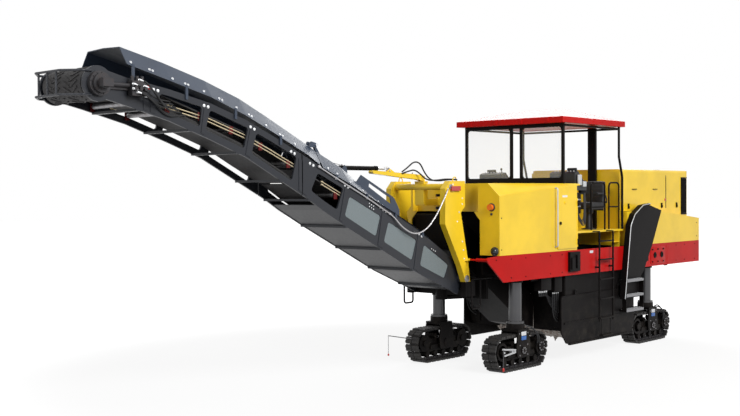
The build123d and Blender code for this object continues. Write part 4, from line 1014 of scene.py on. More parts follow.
# %% Plates, hoses and bolts on the crawlers
plate_size = (0.15, 0.005, 0.07)
corner_bolts = ((-0.12, 0.45), (0.12, 0.45), (-0.12, 0.27), (0.12, 0.27), (-0.13, 0.66), (0.13, 0.66))
hose_steps = ((0.0, 0.0, 0.0), (0.03, 0.03, 0.08), (0.12, 0.02, 0.22), (0.28, 0.0, 0.3),
              (0.36, -0.02, 0.27))
for name, side in crawler_sides.items():
    center = track_center(name)
    body = "crawler_" + name
    outward = Vector((0, side, 0))

    def on_side(dx, z):
        return touch("crawler_" + name, (center.x + dx, center.y + side, z), -outward)

    seat = on_side(0.0, 0.6)[0] + outward * 0.002
    for tint, material, lift in (("white", white_plate, 0.055), ("blue", blue_plate, -0.025)):
        plate = Fitting()
        plate.block(seat + Vector((0, 0, lift)), plate_size, 0.001)
        plate.finish(f"plate_{tint}_{name}", body, "rod_chrome", material)
    seats = [on_side(dx, z) for dx, z in corner_bolts]
    for i in range(8):
        angle = math.radians(45 * i + 22)
        for dx, z, radius in ((-0.57, 0.37, 0.075), (0.0, 0.35, 0.05)):
            seats.append(on_side(dx + radius * math.cos(angle), z + radius * math.sin(angle)))
    bolts("crawler_bolts_" + name, body, "black_paint", [s for s in seats if s], 0.009, 0.008,
          roller_steel)
    hoses = Fitting()
    for k in (0, 1):
        start = Vector((center.x - 0.5 + 0.06 * k, center.y + side * 0.19, 0.44 + 0.03 * k))
        points = [start + Vector((dx, side * dy, dz)) for dx, dy, dz in hose_steps]
        points[3].z += 0.02 * k
        hoses.tube(points, 0.012)
        hoses.lathe(start, (0.2, side * 0.3, 1), [(-0.03, 0.016), (0.0, 0.019), (0.03, 0.016)], 6)
    hoses.finish("motor_hoses_" + name, body, "belt_rubber", hose_rubber)

# %% Feeler on the front left crawler
crawler_middle = track_center("front_left").x
crawler_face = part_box("track_front_left")[1][1]


def beside(dx, out, z):
    """A place dx ahead of the crawler's middle and out from its side."""
    return Vector((crawler_middle + dx, crawler_face + out, z))


feeler = Fitting()
feeler.block(beside(0.45, 0.03, 0.41), (0.42, 0.012, 0.03), 0.003, Matrix.Rotation(-0.12, 3, "Y"))
feeler.block(beside(0.42, 0.03, 0.33), (0.36, 0.012, 0.03), 0.003, Matrix.Rotation(0.1, 3, "Y"))
for dx in (0.28, 0.6):
    feeler.rod(beside(dx, -0.03, 0.37), beside(dx, 0.04, 0.37), 0.02, 12)
feeler.block(beside(0.3, -0.02, 0.36), (0.1, 0.08, 0.08), 0.006)
feeler.finish("feeler_bracket", "crawler_front_left", "rod_chrome", silver_paint)
stem = Fitting()
stem.rod(beside(0.63, 0.03, 0.44), beside(0.63, 0.03, 0.1), 0.008, 10)
stem.finish("feeler_rod", "crawler_front_left", "rod_chrome", leg_steel)
bulb = Fitting()
bulb_profile = [(0, 0.008), (0.02, 0.02), (0.06, 0.02), (0.075, 0.01)]
bulb.lathe(beside(0.63, 0.03, 0.035), (0, 0, 1), bulb_profile, 14)
bulb.finish("feeler_tip", "crawler_front_left", "red_lens", knob_red)

# %% [markdown]
# ## Gantry and cylinder pins
# Every pin of the gantry shows a turned head with a hexagon screw in its middle, so it can't turn
# or slip out. Rows of bolts close the posts, and two bent bars serve as lifting eyes.

# %% Pin heads, post bolts and lifting eyes
def pin_head(fitting, place, side, radius):
    """A turned head with a hexagon screw, on one side of the machine."""
    profile = [(-0.004, radius * 0.9), (0.0, radius), (0.014, radius), (0.018, radius * 0.88)]
    fitting.lathe(place, (0, side, 0), profile, 24)
    fitting.rod(place, place + Vector((0, side * 0.03, 0)), radius * 0.28, 6)


gantry_pins = Fitting()
gantry_pivots = (("slew_frame lower_frame", 0.24, 1.7, 0.06), ("slew_frame", 0.69, 3.3, 0.045))
for side in (1, -1):
    for names, x, z, radius in gantry_pivots:
        pin_head(gantry_pins, from_side(names, x, z, side)[0], side, radius)
gantry_pins.rod(spot(1.45, -0.16, 3.612), spot(1.45, -0.06, 3.612), 0.017, 16, 0.002)
nipple = [(-0.002, 0.014), (0.012, 0.014), (0.016, 0.008), (0.03, 0.008)]
for x in (0.9, 1.5):
    gantry_pins.lathe(from_above("slew_frame", x, 0)[0], (0, 0, 1), nipple, 12)
gantry_pins.finish("gantry_pins", "slewing_gantry", "roller_steel")

post_bolts = [(0.36, 3.1), (0.36, 3.0), (0.45, 2.86), (0.5, 2.7), (0.36, 2.35), (0.33, 2.2),
              (0.31, 2.05), (0.62, 3.34), (0.76, 3.26)]
bolts("gantry_bolts", "slewing_gantry", "roller_steel", side_seats("slew_frame", post_bolts),
      0.011, 0.009)

eyes = Fitting()
eye_bend = [(0.05, -0.004), (0.045, 0.05), (0.0, 0.075), (-0.045, 0.05), (-0.05, -0.004)]
for side in (1, -1):
    foot = from_above("slew_frame", 0.5, side * 0.61)[0]
    eyes.tube([foot + Vector((dx, 0, dz)) for dx, dz in eye_bend], 0.01)
eyes.finish("gantry_lift_eyes", "slewing_gantry", "yellow_paint")

# %% [markdown]
# A thin stay wire runs from an eye on the cover to the lug of the lift cylinder, and the fold hinge
# has bright pin heads.

# %% Stay wire and fold pins
stay = Fitting()
stay_foot = from_above("lower_cover", 3.3, -0.08)[0]
lug_top = spot(2.56, -0.11, 3.655)
stay.rod(stay_foot, stay_foot + Vector((0, 0, 0.07)), 0.012, 12, 0.002)
stay.rod(stay_foot + Vector((0, 0, 0.06)), lug_top, 0.005, 8)
stay.lathe(lug_top - Vector((0, 0, 0.004)), (0, 0, 1), [(0, 0.016), (0.012, 0.016), (0.02, 0.009)], 12)
stay.finish("stay_wire", "conveyor_lower", "roller_steel")

hinge = Fitting()
fold_z = 3.935
for y in (-0.33, 0.33):
    for end in (-1, 1):
        head_start, head_end = (spot(fold_x, y + end * reach, fold_z) for reach in (0.062, 0.082))
        hinge.rod(head_start, head_end, 0.024, 18, 0.003)
hinge.finish("fold_pin_heads", "conveyor_lower", "rod_chrome")

# %% [markdown]
# ## Conveyor head
# The head motor's gearbox is bolted to the frame in a circle. Its hoses leave through zinc elbows,
# bend back and dive through the first window.

# %% Bolt circles, elbows and hoses
head_x, head_z = 7.6, 4.585


def ring_seats(names, radius, count, first, side):
    """Seats evenly round the head's axis, seen from one side. first is the first one's angle."""
    found = []
    for i in range(count):
        angle = math.radians(first + 360 / count * i)
        x, z = head_x + radius * math.cos(angle), head_z + radius * math.sin(angle)
        seat = from_side(names, x, z, side)
        if seat:
            found.append(seat)
    return found


bolts("gearbox_bolts", "conveyor_upper", "engine_metal",
      ring_seats("head_motor upper_frame", 0.135, 12, 10, 1), 0.009, 0.01, engine_metal)
bolts("bearing_bolts", "conveyor_upper", "dark_paint",
      ring_seats("upper_frame head_pulley", 0.12, 8, 0, -1), 0.01, 0.01)

union = [(0, 0.016), (0.014, 0.016), (0.016, 0.011), (0.034, 0.011)]
elbow = [(-0.014, 0.009), (0.0, 0.012), (0.034, 0.012), (0.036, 0.01), (0.06, 0.01)]
ports = [(7.16, 4.60), (7.16, 4.54), (7.10, 4.50), (7.05, 4.66), (6.99, 4.58), (6.93, 4.47)]
dive_x = 6.5
dive_z = along(frame_line, dive_x) - 0.16
fittings = Fitting()
hoses = Fitting()
for i, (x, z) in enumerate(ports):
    base = from_side("head_motor upper_frame", x, z)[0]
    fittings.lathe(base - Vector((0, 0.003, 0)), (0, 1, 0), union, 6)
    fittings.lathe(base + Vector((0, 0.03, 0)), (-1, 0, -0.25), elbow, 10)
    start = base + Vector((-0.05, 0.032, -0.012))
    end = spot(dive_x - 0.05 * i, 0.49, dive_z - 0.035 * i)
    middle = (start + end) / 2 + Vector((0, 0.02, -0.07 - 0.014 * i))
    hoses.tube([start, start + Vector((-0.07, 0.006, -0.015)), middle, end + Vector((0.06, 0.03, 0)),
                end, end + Vector((-0.06, -0.06, 0.0))], 0.011)
fittings.finish("head_fittings", "conveyor_upper", "rod_chrome", bolt_zinc)
hoses.finish("head_hoses", "conveyor_upper", "belt_rubber", hose_rubber)

red_plug = Fitting()
plug_place = from_side("upper_frame", 6.86, 4.58)[0] + Vector((0, 0.02, 0))
red_plug.block(plug_place, (0.06, 0.045, 0.045), 0.006)
red_plug.finish("head_plug", "conveyor_upper", "red_lens", knob_red)

# %% [markdown]
# ## Belt cleats
# The belt carries low rubber chevrons, so the millings don't slide back on the steep run. They show
# where the belt turns round the head. Each chevron is two short bars, stamped by the same recipe
# as the track pads, once along the run and once round the head.

# %% Chevrons on the belts
cleat_length = 0.34
cleat_pitch = 0.2
cleat_rows = (-0.2, 0.2)


def cleat_shape():
    bar = Fitting()
    for side in (1, -1):
        bar.block((side * cleat_length * 0.24, 0, 0.004), (cleat_length * 0.5, 0.022, 0.012), 0.003,
                  Matrix.Rotation(side * 0.5, 3, "Z"))
    return bar


def cleat_place(place, outward):
    """A place whose own X lies across the belt and whose own Z points off it."""
    across = Vector((0, 1, 0))
    return place, Matrix((across, outward.cross(across), outward)).transposed()


def run_places(belt, x_from, x_to):
    places = []
    for i in range(math.ceil((x_to - x_from) / cleat_pitch)):
        x = x_from + i * cleat_pitch
        seat = touch(belt, spot(x, 0.1, along(frame_line, x) - 0.03), (0, 0, -1))
        if seat and seat[1].z > 0.5:
            places += [cleat_place(Vector((seat[0].x, y, seat[0].z)), seat[1]) for y in cleat_rows]
    return places


def head_places():
    places = []
    for i in range(9):
        angle = math.radians(-80 + 20 * i)
        outward = Vector((math.cos(angle), 0, math.sin(angle)))
        for y in cleat_rows:
            seat = touch("upper_belt", spot(head_x, y, head_z) + outward * 0.6, -outward)
            if seat:
                places.append(cleat_place(seat[0], outward))
    return places


for name, body, places in (
    ("belt_cleats_lower", "conveyor_lower", run_places("lower_belt", 0.6, 3.6)),
    ("belt_cleats_upper", "conveyor_upper", run_places("upper_belt", 4.0, 7.5)),
    ("belt_cleats_head", "conveyor_upper", head_places()),
):
    stamps(name, body, "belt_rubber", cleat_shape(), places, belt_rubber)

# %% [markdown]
# ## Front of the body
# The amber lamps sit in black sockets with a plug under them, and the headlights have a black ring
# and a dark glass. A lock and two hinges mark each service door.

# %% Lamp sockets
turn_lamp = (1.035, 2.94)
headlight = (1.105, 2.175)
plug = [(0, 0.022), (0.02, 0.022), (0.026, 0.016)]
turn_rim = [(0, 0.072), (0.014, 0.072), (0.02, 0.066), (0.02, 0.057), (0.004, 0.057)]
head_rim = [(0, 0.078), (0.026, 0.078), (0.036, 0.07), (0.036, 0.06), (0.01, 0.06)]
dome = [(0, 0.0625), (0.03, 0.0625), (0.05, 0.05), (0.06, 0.02)]
sockets = Fitting()
headlight_glass = Fitting()
for side in (1, -1):
    y, z = side * turn_lamp[0], turn_lamp[1]
    sockets.lathe(spot(-0.002, y, z), (1, 0, 0), turn_rim, 32)
    seat = touch("front_housing", spot(0.5, y, z - 0.12), (-1, 0, 0))
    sockets.lathe(seat[0] - Vector((0.002, 0, 0)), (1, 0, 0), plug, 16)
    y, z = side * headlight[0], headlight[1]
    sockets.lathe(spot(-0.002, y, z), (1, 0, 0), head_rim, 32)
    headlight_glass.lathe(spot(0.012, y, z), (1, 0, 0), dome, 28)
sockets.finish("lamp_sockets", "machine", "console_plastic")
headlight_glass.finish("headlight_glass", "machine", "window_glass", screen_glass)

# %% Door hinges and locks
for side, name in ((1, "left"), (-1, "right")):
    low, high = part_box("service_door_" + name)
    face = side * max(abs(low[1]), abs(high[1]))
    door = Fitting()
    for z in (low[2] + 0.12, high[2] - 0.12):
        hinge_line = Vector((low[0] + 0.012, face + side * 0.006, z))
        door.rod(hinge_line - Vector((0, 0, 0.05)), hinge_line + Vector((0, 0, 0.05)), 0.012, 14, 0.002)
    lock = Vector((high[0] - 0.07, face, (low[2] + high[2]) / 2))
    door.lathe(lock, (0, side, 0), [(-0.002, 0.03), (0.006, 0.03), (0.009, 0.024)], 20)
    door.block(lock + Vector((0, side * 0.014, 0)), (0.014, 0.014, 0.046), 0.003)
    door.finish("door_fittings_" + name, "service_door_" + name, "black_paint")

# %% Blank plates and bolts on the body
panels = "front_housing rear_boxes side_bands service_door_left service_door_right"
plates = Fitting()
for side in (1, -1):
    for x, z, wide, tall in ((-2.1, 3.1, 0.17, 0.08), (-3.05, 2.04, 0.12, 0.05)):
        place = from_side(panels, x, z, side)[0]
        plates.block(place + Vector((0, side * 0.002, 0)), (wide, 0.004, tall), 0.001)
plates.finish("blank_plates", "machine", "rod_chrome", white_plate)

band_x = (0.1, -0.35, -0.8, -1.6, -2.0, -4.9, -5.2, -6.6, -7.0, -7.5)
body_seats = side_seats("side_bands", [(x, z) for x in band_x for z in (1.7, 2.03)])
body_seats += side_seats("front_housing", [(-0.06, 2.2), (-0.06, 2.75), (-0.06, 3.28), (-2.18, 2.2),
                                           (-2.18, 2.7)])
body_seats += side_seats("rear_boxes", [(-4.52, 2.2), (-4.52, 2.6), (-7.6, 2.2), (-7.6, 2.5)])
bolts("body_bolts", "machine", "black_paint", body_seats, 0.009, 0.007, black_paint)

eaves_z = 4.555
roof_seats = side_seats("canopy_roof", [(-2.05 - 0.34 * i, eaves_z) for i in range(7)])
for y in (-1.0, -0.6, -0.2, 0.2, 0.6, 1.0):
    for start_x, way in ((1, -1), (-6, 1)):
        roof_seats.append(touch("canopy_roof", spot(start_x, y, eaves_z), (way, 0, 0)))
bolts("roof_bolts", "machine", "red_paint", roof_seats, 0.008, 0.006, red_paint)

# %% [markdown]
# ## Hood
# The hood is two shells with a rubber seal between them. Black latches hold it, a round red
# reflector marks its side, and the cowl's corner has an air grille of upright slats.

# %% Hood seal
hood_nodes = "engine_hood rear_cowl"
seal_x = -6.4
above_seal = seal_x + 0.03
seal = Fitting()
for side in (1, -1):
    seats = [from_side(hood_nodes, above_seal, z, side) for z in (2.84, 3.1, 3.4, 3.56)]
    seats += [from_above(hood_nodes, above_seal, side * y) for y in (0.98, 0.7, 0.35, 0.0)]
    seal.tube([seat[0] + Vector((seal_x - above_seal, 0, 0)) for seat in seats if seat], 0.011)
seal.finish("hood_seal", "engine_hood", "belt_rubber", hose_rubber)

# %% Latches, handles and reflectors
latches = Fitting()
reflectors = Fitting()
reflector = [(0, 0.03), (0.01, 0.03), (0.014, 0.024)]
handle_bend = [(-0.09, -0.004), (-0.09, 0.035), (0.09, 0.035), (0.09, -0.004)]
for side in (1, -1):
    for x in (-4.75, -5.6, -6.2, -6.9):
        base = from_side(hood_nodes, x, 2.9, side)[0]
        latches.block(base + Vector((0, side * 0.008, 0)), (0.05, 0.02, 0.11), 0.004)
        latches.block(base + Vector((0, side * 0.022, -0.02)), (0.03, 0.016, 0.05), 0.004)
    for x in (-5.0, -5.9):
        base = from_side(hood_nodes, x, 3.25, side)[0]
        latches.tube([base + Vector((dx, side * out, 0)) for dx, out in handle_bend], 0.008)
    base = from_side(hood_nodes, -6.37, 3.02, side)[0]
    reflectors.lathe(base - Vector((0, side * 0.002, 0)), (0, side, 0), reflector, 20)
latches.finish("hood_latches", "engine_hood", "black_paint")
reflectors.finish("hood_reflectors", "engine_hood", "red_lens")

# %% Corner grilles
slat_count = 7
slat_pitch = 0.035
corner = Fitting()
slat = Fitting()
slat.block((0, 0, 0), (0.016, 0.02, 0.74), 0.003, Matrix.Rotation(0.5, 3, "Z"))
places = []
for side in (1, -1):
    middle = from_side("rear_cowl", -7.24, 3.1, side)[0]
    corner.block(middle + Vector((0, side * 0.002, 0)), (0.26, 0.01, 0.82), 0.003)
    for z in (0.4, -0.4):
        corner.block(middle + Vector((0, side * 0.01, z)), (0.26, 0.022, 0.024), 0.003)
    turn = Matrix.Rotation(0 if side > 0 else math.pi, 3, "Z")
    for i in range(slat_count):
        dx = (i - (slat_count - 1) / 2) * slat_pitch
        places.append((middle + Vector((dx, side * 0.012, 0)), turn))
corner.finish("corner_grille_frames", "engine_hood", "black_paint")
stamps("corner_grille_slats", "engine_hood", "black_paint", slat, places, black_paint)

# %% [markdown]
# ## Stairs
# The curved stair guard has a silver edge, a painted highlight along its rounded rim. The treads are
# grey pressed grating with rows of studs and a nosing, so a wet boot holds.

# %% Painted highlight edge, gratings and studs
guard_x = -4.45
guard_edge = [(0.32, 1.05), (0.08, 2.52), (-0.09, 2.74), (-0.43, 2.92), (-0.73, 2.95)]
tread_heights = (0.78, 1.08, 1.38)
edge = Fitting()
gratings = Fitting()
stud = Fitting()
stud.lathe((0, 0, -0.001), (0, 0, 1), [(0, 0.009), (0.005, 0.007)], 6)
studs = []
for side in (1, -1):
    # A silver tube on the guard's rim: a painted highlight along the rounded edge.
    edge.tube([spot(guard_x + dx, side * 1.332, z) for dx, z in guard_edge], 0.009, smooth=False)
    for z in tread_heights:
        gratings.block(spot(guard_x - 0.09, side * 1.255, z + 0.042), (0.68, 0.13, 0.006), 0.001)
        gratings.block(spot(guard_x - 0.09, side * 1.331, z + 0.02), (0.7, 0.006, 0.05), 0.002)
        places = [spot(guard_x - 0.41 + 0.04 * i, side * (1.21 + 0.045 * k), z + 0.045)
                  for i in range(17) for k in range(3)]
        studs += [(place, Matrix.Identity(3)) for place in places]
edge.finish("guard_bright_edge", "machine", "rod_chrome", silver_paint)
gratings.finish("stair_gratings", "machine", "rod_chrome", tread_mesh)
stamps("grating_teeth", "machine", "rod_chrome", stud, studs, silver_paint)

# %% [markdown]
# ## Seats
# Two padded seats on pedestals. A cushion is a crowned closed form: its sides pull in between the
# corners, and sewn channels cross it. It is shaped here by moving the points of a finely divided
# block, because firm foam under leathercloth hardly sags.

# %% A cushion
def rounded(a, b, c):
    """One coordinate of a point of the cube, once the cube is blown up to its ball."""
    return a * math.sqrt(max(0.0, 1 - b * b / 2 - c * c / 2 + b * b * c * c / 3))


def channel(distance):
    """How deep a sewn channel is at a distance from its seam, from 1 down to 0."""
    seam_width = 0.035
    return math.exp(-(distance / seam_width) ** 2)


def cushion(name, center, size, tilt, channels):
    """A padded block. channels are the places of its cross seams along its own X, from -1 to 1."""
    softness = 0.24
    half = Vector(size) / 2
    mesh = bpy.data.meshes.new(name)
    form = bmesh.new()
    bmesh.ops.create_cube(form, size=2.0)
    bmesh.ops.subdivide_edges(form, edges=form.edges[:], cuts=27, use_grid_fill=True)
    turn = Matrix.Rotation(tilt, 3, "Y")
    for v in form.verts:
        x, y, z = v.co
        ball = Vector((rounded(x, y, z), rounded(y, z, x), rounded(z, x, y)))
        soft = Vector((x, y, z)).lerp(ball, softness)
        soft.z *= 1 - 0.16 * (abs(x) ** 4 + abs(y) ** 4) / 2
        soft.x *= 1 - 0.02 * (1 - y * y)
        soft.y *= 1 - 0.02 * (1 - x * x)
        if z > 0.4:
            soft.z -= sum(0.16 * channel(x - seam) for seam in channels) * (1 - y ** 6)
            soft.z -= 0.12 * channel(abs(y) - 0.62) * (1 - x ** 6)
        v.co = turn @ Vector((soft.x * half.x, soft.y * half.y, soft.z * half.z)) + center
    form.to_mesh(mesh)
    form.free()
    mesh.shade_smooth()
    ready(bpy.data.objects.new(name, mesh), "machine", "seat_cover")


# %% Cushions, backs and seat frames
seat_y = 0.785
back_lean = 0.08
pedestal = [(0, 0.15), (0.02, 0.15), (0.03, 0.075), (0.3, 0.06), (0.34, 0.09), (0.41, 0.09)]
seat_frames = Fitting()
for side, name in ((1, "left"), (-1, "right")):
    y = side * seat_y
    cushion("seat_cushion_" + name, spot(-3.68, y, 2.935), (0.5, 0.44, 0.125), 0.0,
            (-0.35, 0.05, 0.45))
    cushion("seat_back_" + name, spot(-3.91, y, 3.19), (0.46, 0.43, 0.11), math.pi / 2 - back_lean,
            (-0.45, -0.05, 0.35))
    seat_frames.lathe(spot(-3.66, y, 2.449), (0, 0, 1), pedestal, 28)
    seat_frames.block(spot(-3.68, y, 2.865), (0.44, 0.38, 0.03), 0.008)
    seat_frames.block(spot(-3.955, y, 3.08), (0.03, 0.34, 0.52), 0.01,
                      Matrix.Rotation(-back_lean, 3, "Y"))
    for reach in (-0.24, 0.24):
        arm = [(-3.95, 2.99), (-3.93, 3.12), (-3.86, 3.15)]
        seat_frames.tube([spot(x, y + reach, z) for x, z in arm], 0.012)
        seat_frames.block(spot(-3.72, y + reach, 3.165), (0.32, 0.045, 0.035), 0.014)
    seat_frames.block(spot(-3.95, y, 2.99), (0.02, 0.5, 0.03), 0.005)
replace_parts(seat_frames.finish("seat_frames", "machine", "console_plastic"), "seats")

# %% [markdown]
# ## Operator's station
# Each desk carries two levers with gaiters, a row of switches and a screen without any sign. On each
# side a folded mirror with a silver back sticks out past the rail.

# %% Levers, switches, screens and mirrors
gaiter = [(0, 0.032), (0.012, 0.03), (0.016, 0.022), (0.026, 0.024), (0.03, 0.016), (0.04, 0.018),
          (0.046, 0.008), (0.12, 0.006)]
lever_knob = [(0, 0.008), (0.012, 0.02), (0.035, 0.022), (0.05, 0.012)]
switch = [(0, 0.016), (0.008, 0.016), (0.01, 0.011), (0.022, 0.01)]
upright = Vector((0, 0, 1))
controls = Fitting()
screens = Fitting()
switches = Fitting()
mirrors = Fitting()
for side in (1, -1):
    outward = Vector((0, side, 0))
    for x in (-2.9, -2.78):
        base = from_above("consoles", x, side * 0.72)[0]
        controls.lathe(base - upright * 0.004, upright, gaiter, 18)
        controls.lathe(base + upright * 0.108, upright, lever_knob, 16)
    for i in range(7):
        seat = from_above("consoles", -2.68, side * (0.62 + 0.07 * i))
        if seat:
            switches.lathe(seat[0] - upright * 0.003, seat[1], switch, 14)
    base = from_above("consoles", -2.8, side * 0.95)[0]
    tilt = Matrix.Rotation(0.35, 3, "Y")
    controls.block(base + Vector((0.02, 0, 0.07)), (0.05, 0.2, 0.16), 0.01, tilt)
    controls.rod(base - upright * 0.005, base + Vector((0.02, 0, 0.03)), 0.02, 12)
    screens.block(base + Vector((-0.0045, 0, 0.079)), (0.006, 0.17, 0.12), 0.002, tilt)
    base = from_side("deck_rails consoles", -2.72, 3.4, side)[0]
    mirrors.rod(base - outward * 0.02, base + outward * 0.03, 0.014, 12)
    mirrors.block(base + outward * 0.035 + Vector((0.02, 0, 0.03)), (0.13, 0.03, 0.2), 0.012)
    mirrors.block(base + outward * 0.02 + Vector((-0.16, 0, -0.05)), (0.12, 0.05, 0.1), 0.01)
controls.finish("console_controls", "machine", "console_plastic")
switches.finish("console_switches", "machine", "console_plastic", silver_paint)
screens.finish("console_screens", "machine", "window_glass", screen_glass)
mirrors.finish("folded_mirrors", "machine", "rod_chrome", silver_paint)

# %% [markdown]
# ## Milling drum
# Carbide picks sit in holders along two screws that meet in the middle, so the drum carries the
# millings to the feed conveyor. The stamp recipe puts one holder and one tip on each point of the
# screws. Every holder leans into the cut.

# %% Picks along the two screws
picks_per_turn = 11
picks_per_side = 70
drum_radius = 0.41
drum_middle = spot(-3.35, 0, 0.71)
drum_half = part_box("milling_drum")[1][1]
pick_places = []
for side in (1, -1):
    for i in range(picks_per_side):
        angle = i * 2 * math.pi / picks_per_turn * side + side * 0.4
        core = drum_middle + Vector((0, side * (0.03 + i * (drum_half - 0.08) / picks_per_side), 0))
        out = Vector((math.cos(angle), 0, math.sin(angle)))
        seat = touch("milling_drum", core + out * 0.7, -out)
        if seat and (seat[0] - core).length > 0.3:
            across = Vector((0, 1, 0))
            reach = min((seat[0] - core).length, drum_radius) - 0.012
            turn = Matrix((across.cross(out), across, out)).transposed()
            pick_places.append((core + out * reach, turn))

pick = Fitting()
tip = Fitting()
pick.lathe((0, 0, -0.02), (0.35, 0, 1), [(0, 0.026), (0.035, 0.026), (0.045, 0.018), (0.06, 0.016)], 8)
tip.lathe((0.014, 0, 0.02), (0.35, 0, 1), [(0, 0.014), (0.018, 0.009), (0.034, 0.002)], 8)
stamps("drum_picks", "milling_drum", "drum_steel", pick, pick_places, drum_steel)
stamps("drum_tips", "milling_drum", "drum_steel", tip, pick_places, carbide)

# %% [markdown]
# ## Guide pointer
# A thin steel arm reaches forward from the front right crawler, with a chain and a red marker at its
# tip. The driver steers by it along a string line. Every other link of the chain lies across.

# %% Pointer with its chain and marker
link_count = 16
link_pitch = 0.02
pointer = Fitting()
marker = Fitting()
foot = touch("crawler_front_right leg_front_right", spot(1.2, -0.88, 0.45), (-1, 0, 0))[0]
pointer_tip = spot(0.55, -0.88, 0.6)
pointer.rod(foot - Vector((0.01, 0, 0)), pointer_tip, 0.009, 10)
socket = [(0, 0.03), (0.02, 0.03), (0.03, 0.014), (0.06, 0.012)]
pointer.lathe(foot - Vector((0.004, 0, 0)), (1, 0, 0.1), socket, 14)
for i in range(link_count):
    center = pointer_tip - Vector((0, 0, 0.012 + link_pitch * i))
    turn = Matrix.Rotation(math.pi / 2 * (i % 2), 3, "Z")
    angles = [math.pi / 3 * k for k in range(7)]
    pointer.tube([center + turn @ Vector((0.006 * math.cos(a), 0, 0.013 * math.sin(a))) for a in angles],
                 0.0026, smooth=False, sides=6)
bulb = [(0, 0.004), (0.01, 0.016), (0.03, 0.016), (0.045, 0.004)]
marker.lathe(pointer_tip - Vector((0, 0, 0.37)), (0, 0, 1), bulb, 16)
pointer.finish("guide_pointer", "crawler_front_right", "rod_chrome", roller_steel)
marker.finish("guide_marker", "crawler_front_right", "red_lens", knob_red)

# %% [markdown]
# ## Bands and belly
# Behind the stairs a service panel with round caps sits in the band. In front of the drum housing, a
# rod and an upright plate on the housing's front wall carry valve blocks with bundles of hoses. They
# stay clear of the tracks when a leg is drawn in.

# %% Service panel in the band
band_panels = Fitting()
caps = Fitting()
cap_profile = [(0, 0.062), (0.014, 0.062), (0.022, 0.05), (0.022, 0.03), (0.012, 0.028)]
knob_profile = [(0, 0.016), (0.01, 0.016), (0.02, 0.01)]
for side in (1, -1):
    outward = Vector((0, side, 0))
    face = from_side("side_bands", -5.75, 1.85, side)[0]
    band_panels.block(face + outward * 0.003, (0.62, 0.01, 0.36), 0.003)
    for dx in (-0.17, 0.13):
        caps.lathe(face + outward * 0.004 + Vector((dx, 0, 0.01)), outward, cap_profile, 28)
    for dx in (-0.24, 0.0, 0.24):
        caps.block(face + outward * 0.014 + Vector((dx, 0, 0.13)), (0.05, 0.02, 0.03), 0.004)
        caps.lathe(face + outward * 0.006 + Vector((dx, 0, -0.13)), outward, knob_profile, 12)
    seam = from_side("side_bands", -6.19, 1.85, side)[0]
    band_panels.block(seam + outward * 0.001, (0.008, 0.004, 0.42), 0.001)
band_panels.finish("band_panels", "machine", "red_paint")
caps.finish("band_caps", "machine", "black_paint")

# %% Valves and hoses under the belly
big_union = [(-0.004, 0.016), (0.02, 0.016), (0.022, 0.012), (0.05, 0.012)]
small_union = [(-0.004, 0.014), (0.018, 0.014), (0.02, 0.01), (0.04, 0.01)]
belly = Fitting()
belly_fittings = Fitting()
belly_hoses = Fitting()
gather_x = -2.3
for side in (1, -1):
    y = side * 1.02

    def under(x, inwards, z):
        """A place under the band, inwards metres closer to the middle than the valves."""
        return spot(x, y - side * inwards, z)

    belly.block(under(-1.62, 0, 1.5), (0.34, 0.16, 0.24), 0.012)
    belly.block(under(-2.05, 0, 1.47), (0.26, 0.14, 0.3), 0.012)
    belly.rod(under(-1.2, 0, 1.6), under(gather_x, 0, 1.6), 0.03, 16)
    belly.block(under(-2.26, 0.04, 1.1), (0.06, 0.24, 0.95), 0.01)
    for i in range(5):
        x = -1.5 - 0.06 * i
        belly_fittings.lathe(under(x, 0, 1.382), (0, 0, -1), big_union, 6)
        belly_hoses.tube([under(x, 0, 1.34), under(x - 0.01, 0, 1.3), under(x - 0.06, 0.04, 1.275),
                          under(-1.9, 0.1, 1.27), under(-2.05, 0.11, 1.2 - 0.04 * i),
                          under(gather_x, 0.1, 1.1 - 0.05 * i)], 0.014)
    for i in range(4):
        x = -1.96 - 0.06 * i
        belly_fittings.lathe(under(x, 0, 1.322), (0, 0, -1), small_union, 6)
        belly_hoses.tube([under(x, 0, 1.29), under(x, 0.01, 1.15), under(x - 0.08, 0.04, 0.8 + 0.04 * i),
                          under(gather_x, 0.08, 0.72 + 0.04 * i)], 0.012)
belly.finish("belly_valves", "machine", "black_paint")
belly_fittings.finish("belly_fittings", "machine", "rod_chrome", bolt_zinc)
belly_hoses.finish("belly_hoses", "machine", "belt_rubber", hose_rubber)

# %% [markdown]
# ## Outside the deck
# Outside the deck, switch boxes and loops of cable are strapped to the rail beside the ladder, where
# someone on the ground can reach them. The other side mirrors them.

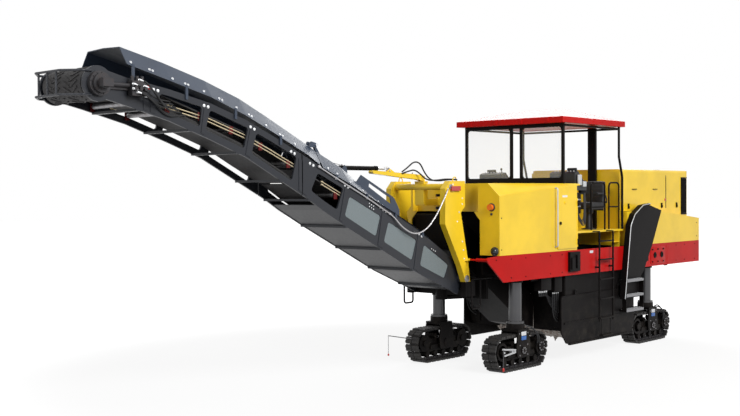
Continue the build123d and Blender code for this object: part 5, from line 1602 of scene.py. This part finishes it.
# %% Switch boxes and cables at the rail
box_x = -2.75
big_switch = [(0, 0.016), (0.01, 0.016), (0.014, 0.01), (0.022, 0.01)]
small_switch = [(0, 0.013), (0.008, 0.013), (0.012, 0.008)]
rail_boxes = Fitting()
cables = Fitting()
rail_switches = Fitting()
for side in (1, -1):
    rail_y = from_side("deck_rails consoles operator_deck", box_x, 3.1, side)[0].y

    def at_rail(x, z, reach=0.0):
        """A place beside the rail, reach metres out from it."""
        return spot(x, rail_y + side * reach, z)

    rail_boxes.block(at_rail(box_x, 2.98, 0.02), (0.3, 0.09, 0.4), 0.014)
    rail_boxes.block(at_rail(-2.7, 2.62, 0.015), (0.16, 0.07, 0.34), 0.012)
    rail_boxes.block(at_rail(-3.05, 3.3, 0.005), (0.2, 0.07, 0.24), 0.012)
    rail_boxes.rod(at_rail(box_x, 2.42), at_rail(box_x, 3.35), 0.02, 14)
    rail_boxes.rod(at_rail(box_x, 3.3), at_rail(-3.1, 3.3), 0.016, 12)
    for i in range(4):
        for z, profile in ((3.05, big_switch), (2.92, small_switch)):
            rail_switches.lathe(at_rail(-2.85 + 0.065 * i, z, 0.064), (0, side, 0), profile, 16)
    for i in range(5):
        low = 2.62 - 0.03 * i
        cables.tube([at_rail(-2.84 + 0.03 * i, 2.8, 0.03), at_rail(-2.88 + 0.02 * i, 2.7, 0.045),
                     at_rail(-2.97, low, 0.05 + 0.006 * i), at_rail(-3.06 - 0.02 * i, low + 0.16, 0.04),
                     at_rail(-3.06 - 0.015 * i, 3.2, 0.02)], 0.009)
rail_boxes.finish("rail_boxes", "machine", "black_paint")
rail_switches.finish("rail_switches", "machine", "rod_chrome", silver_paint)
cables.finish("rail_cables", "machine", "belt_rubber", hose_rubber)

# %% [markdown]
# ## Facets of the front housing
# A long facet breaks each top edge of the front housing. It is a thin sheet that starts a quarter of
# a metre wide at the nose and narrows to a finger at the deck, so four corners describe it.

# %% Long facets
facet_nose = 0.25
facet_drop = 0.23
facet_tail = 0.03
skin = 0.0005
facet_ends = (-0.003, -2.655)
facets = Fitting()
for side in (1, -1):
    wall, top = side_y - skin, body_top - skin
    nose, tail = facet_ends
    outline = [spot(nose, side * (wall - facet_nose), top), spot(nose, side * wall, top - facet_drop),
               spot(tail, side * wall, top - facet_tail), spot(tail, side * (wall - facet_tail), top)]
    facets.plate(outline, Vector((0, -side * 0.007, -0.007)))
facets.finish("housing_facets", "machine", "yellow_paint")
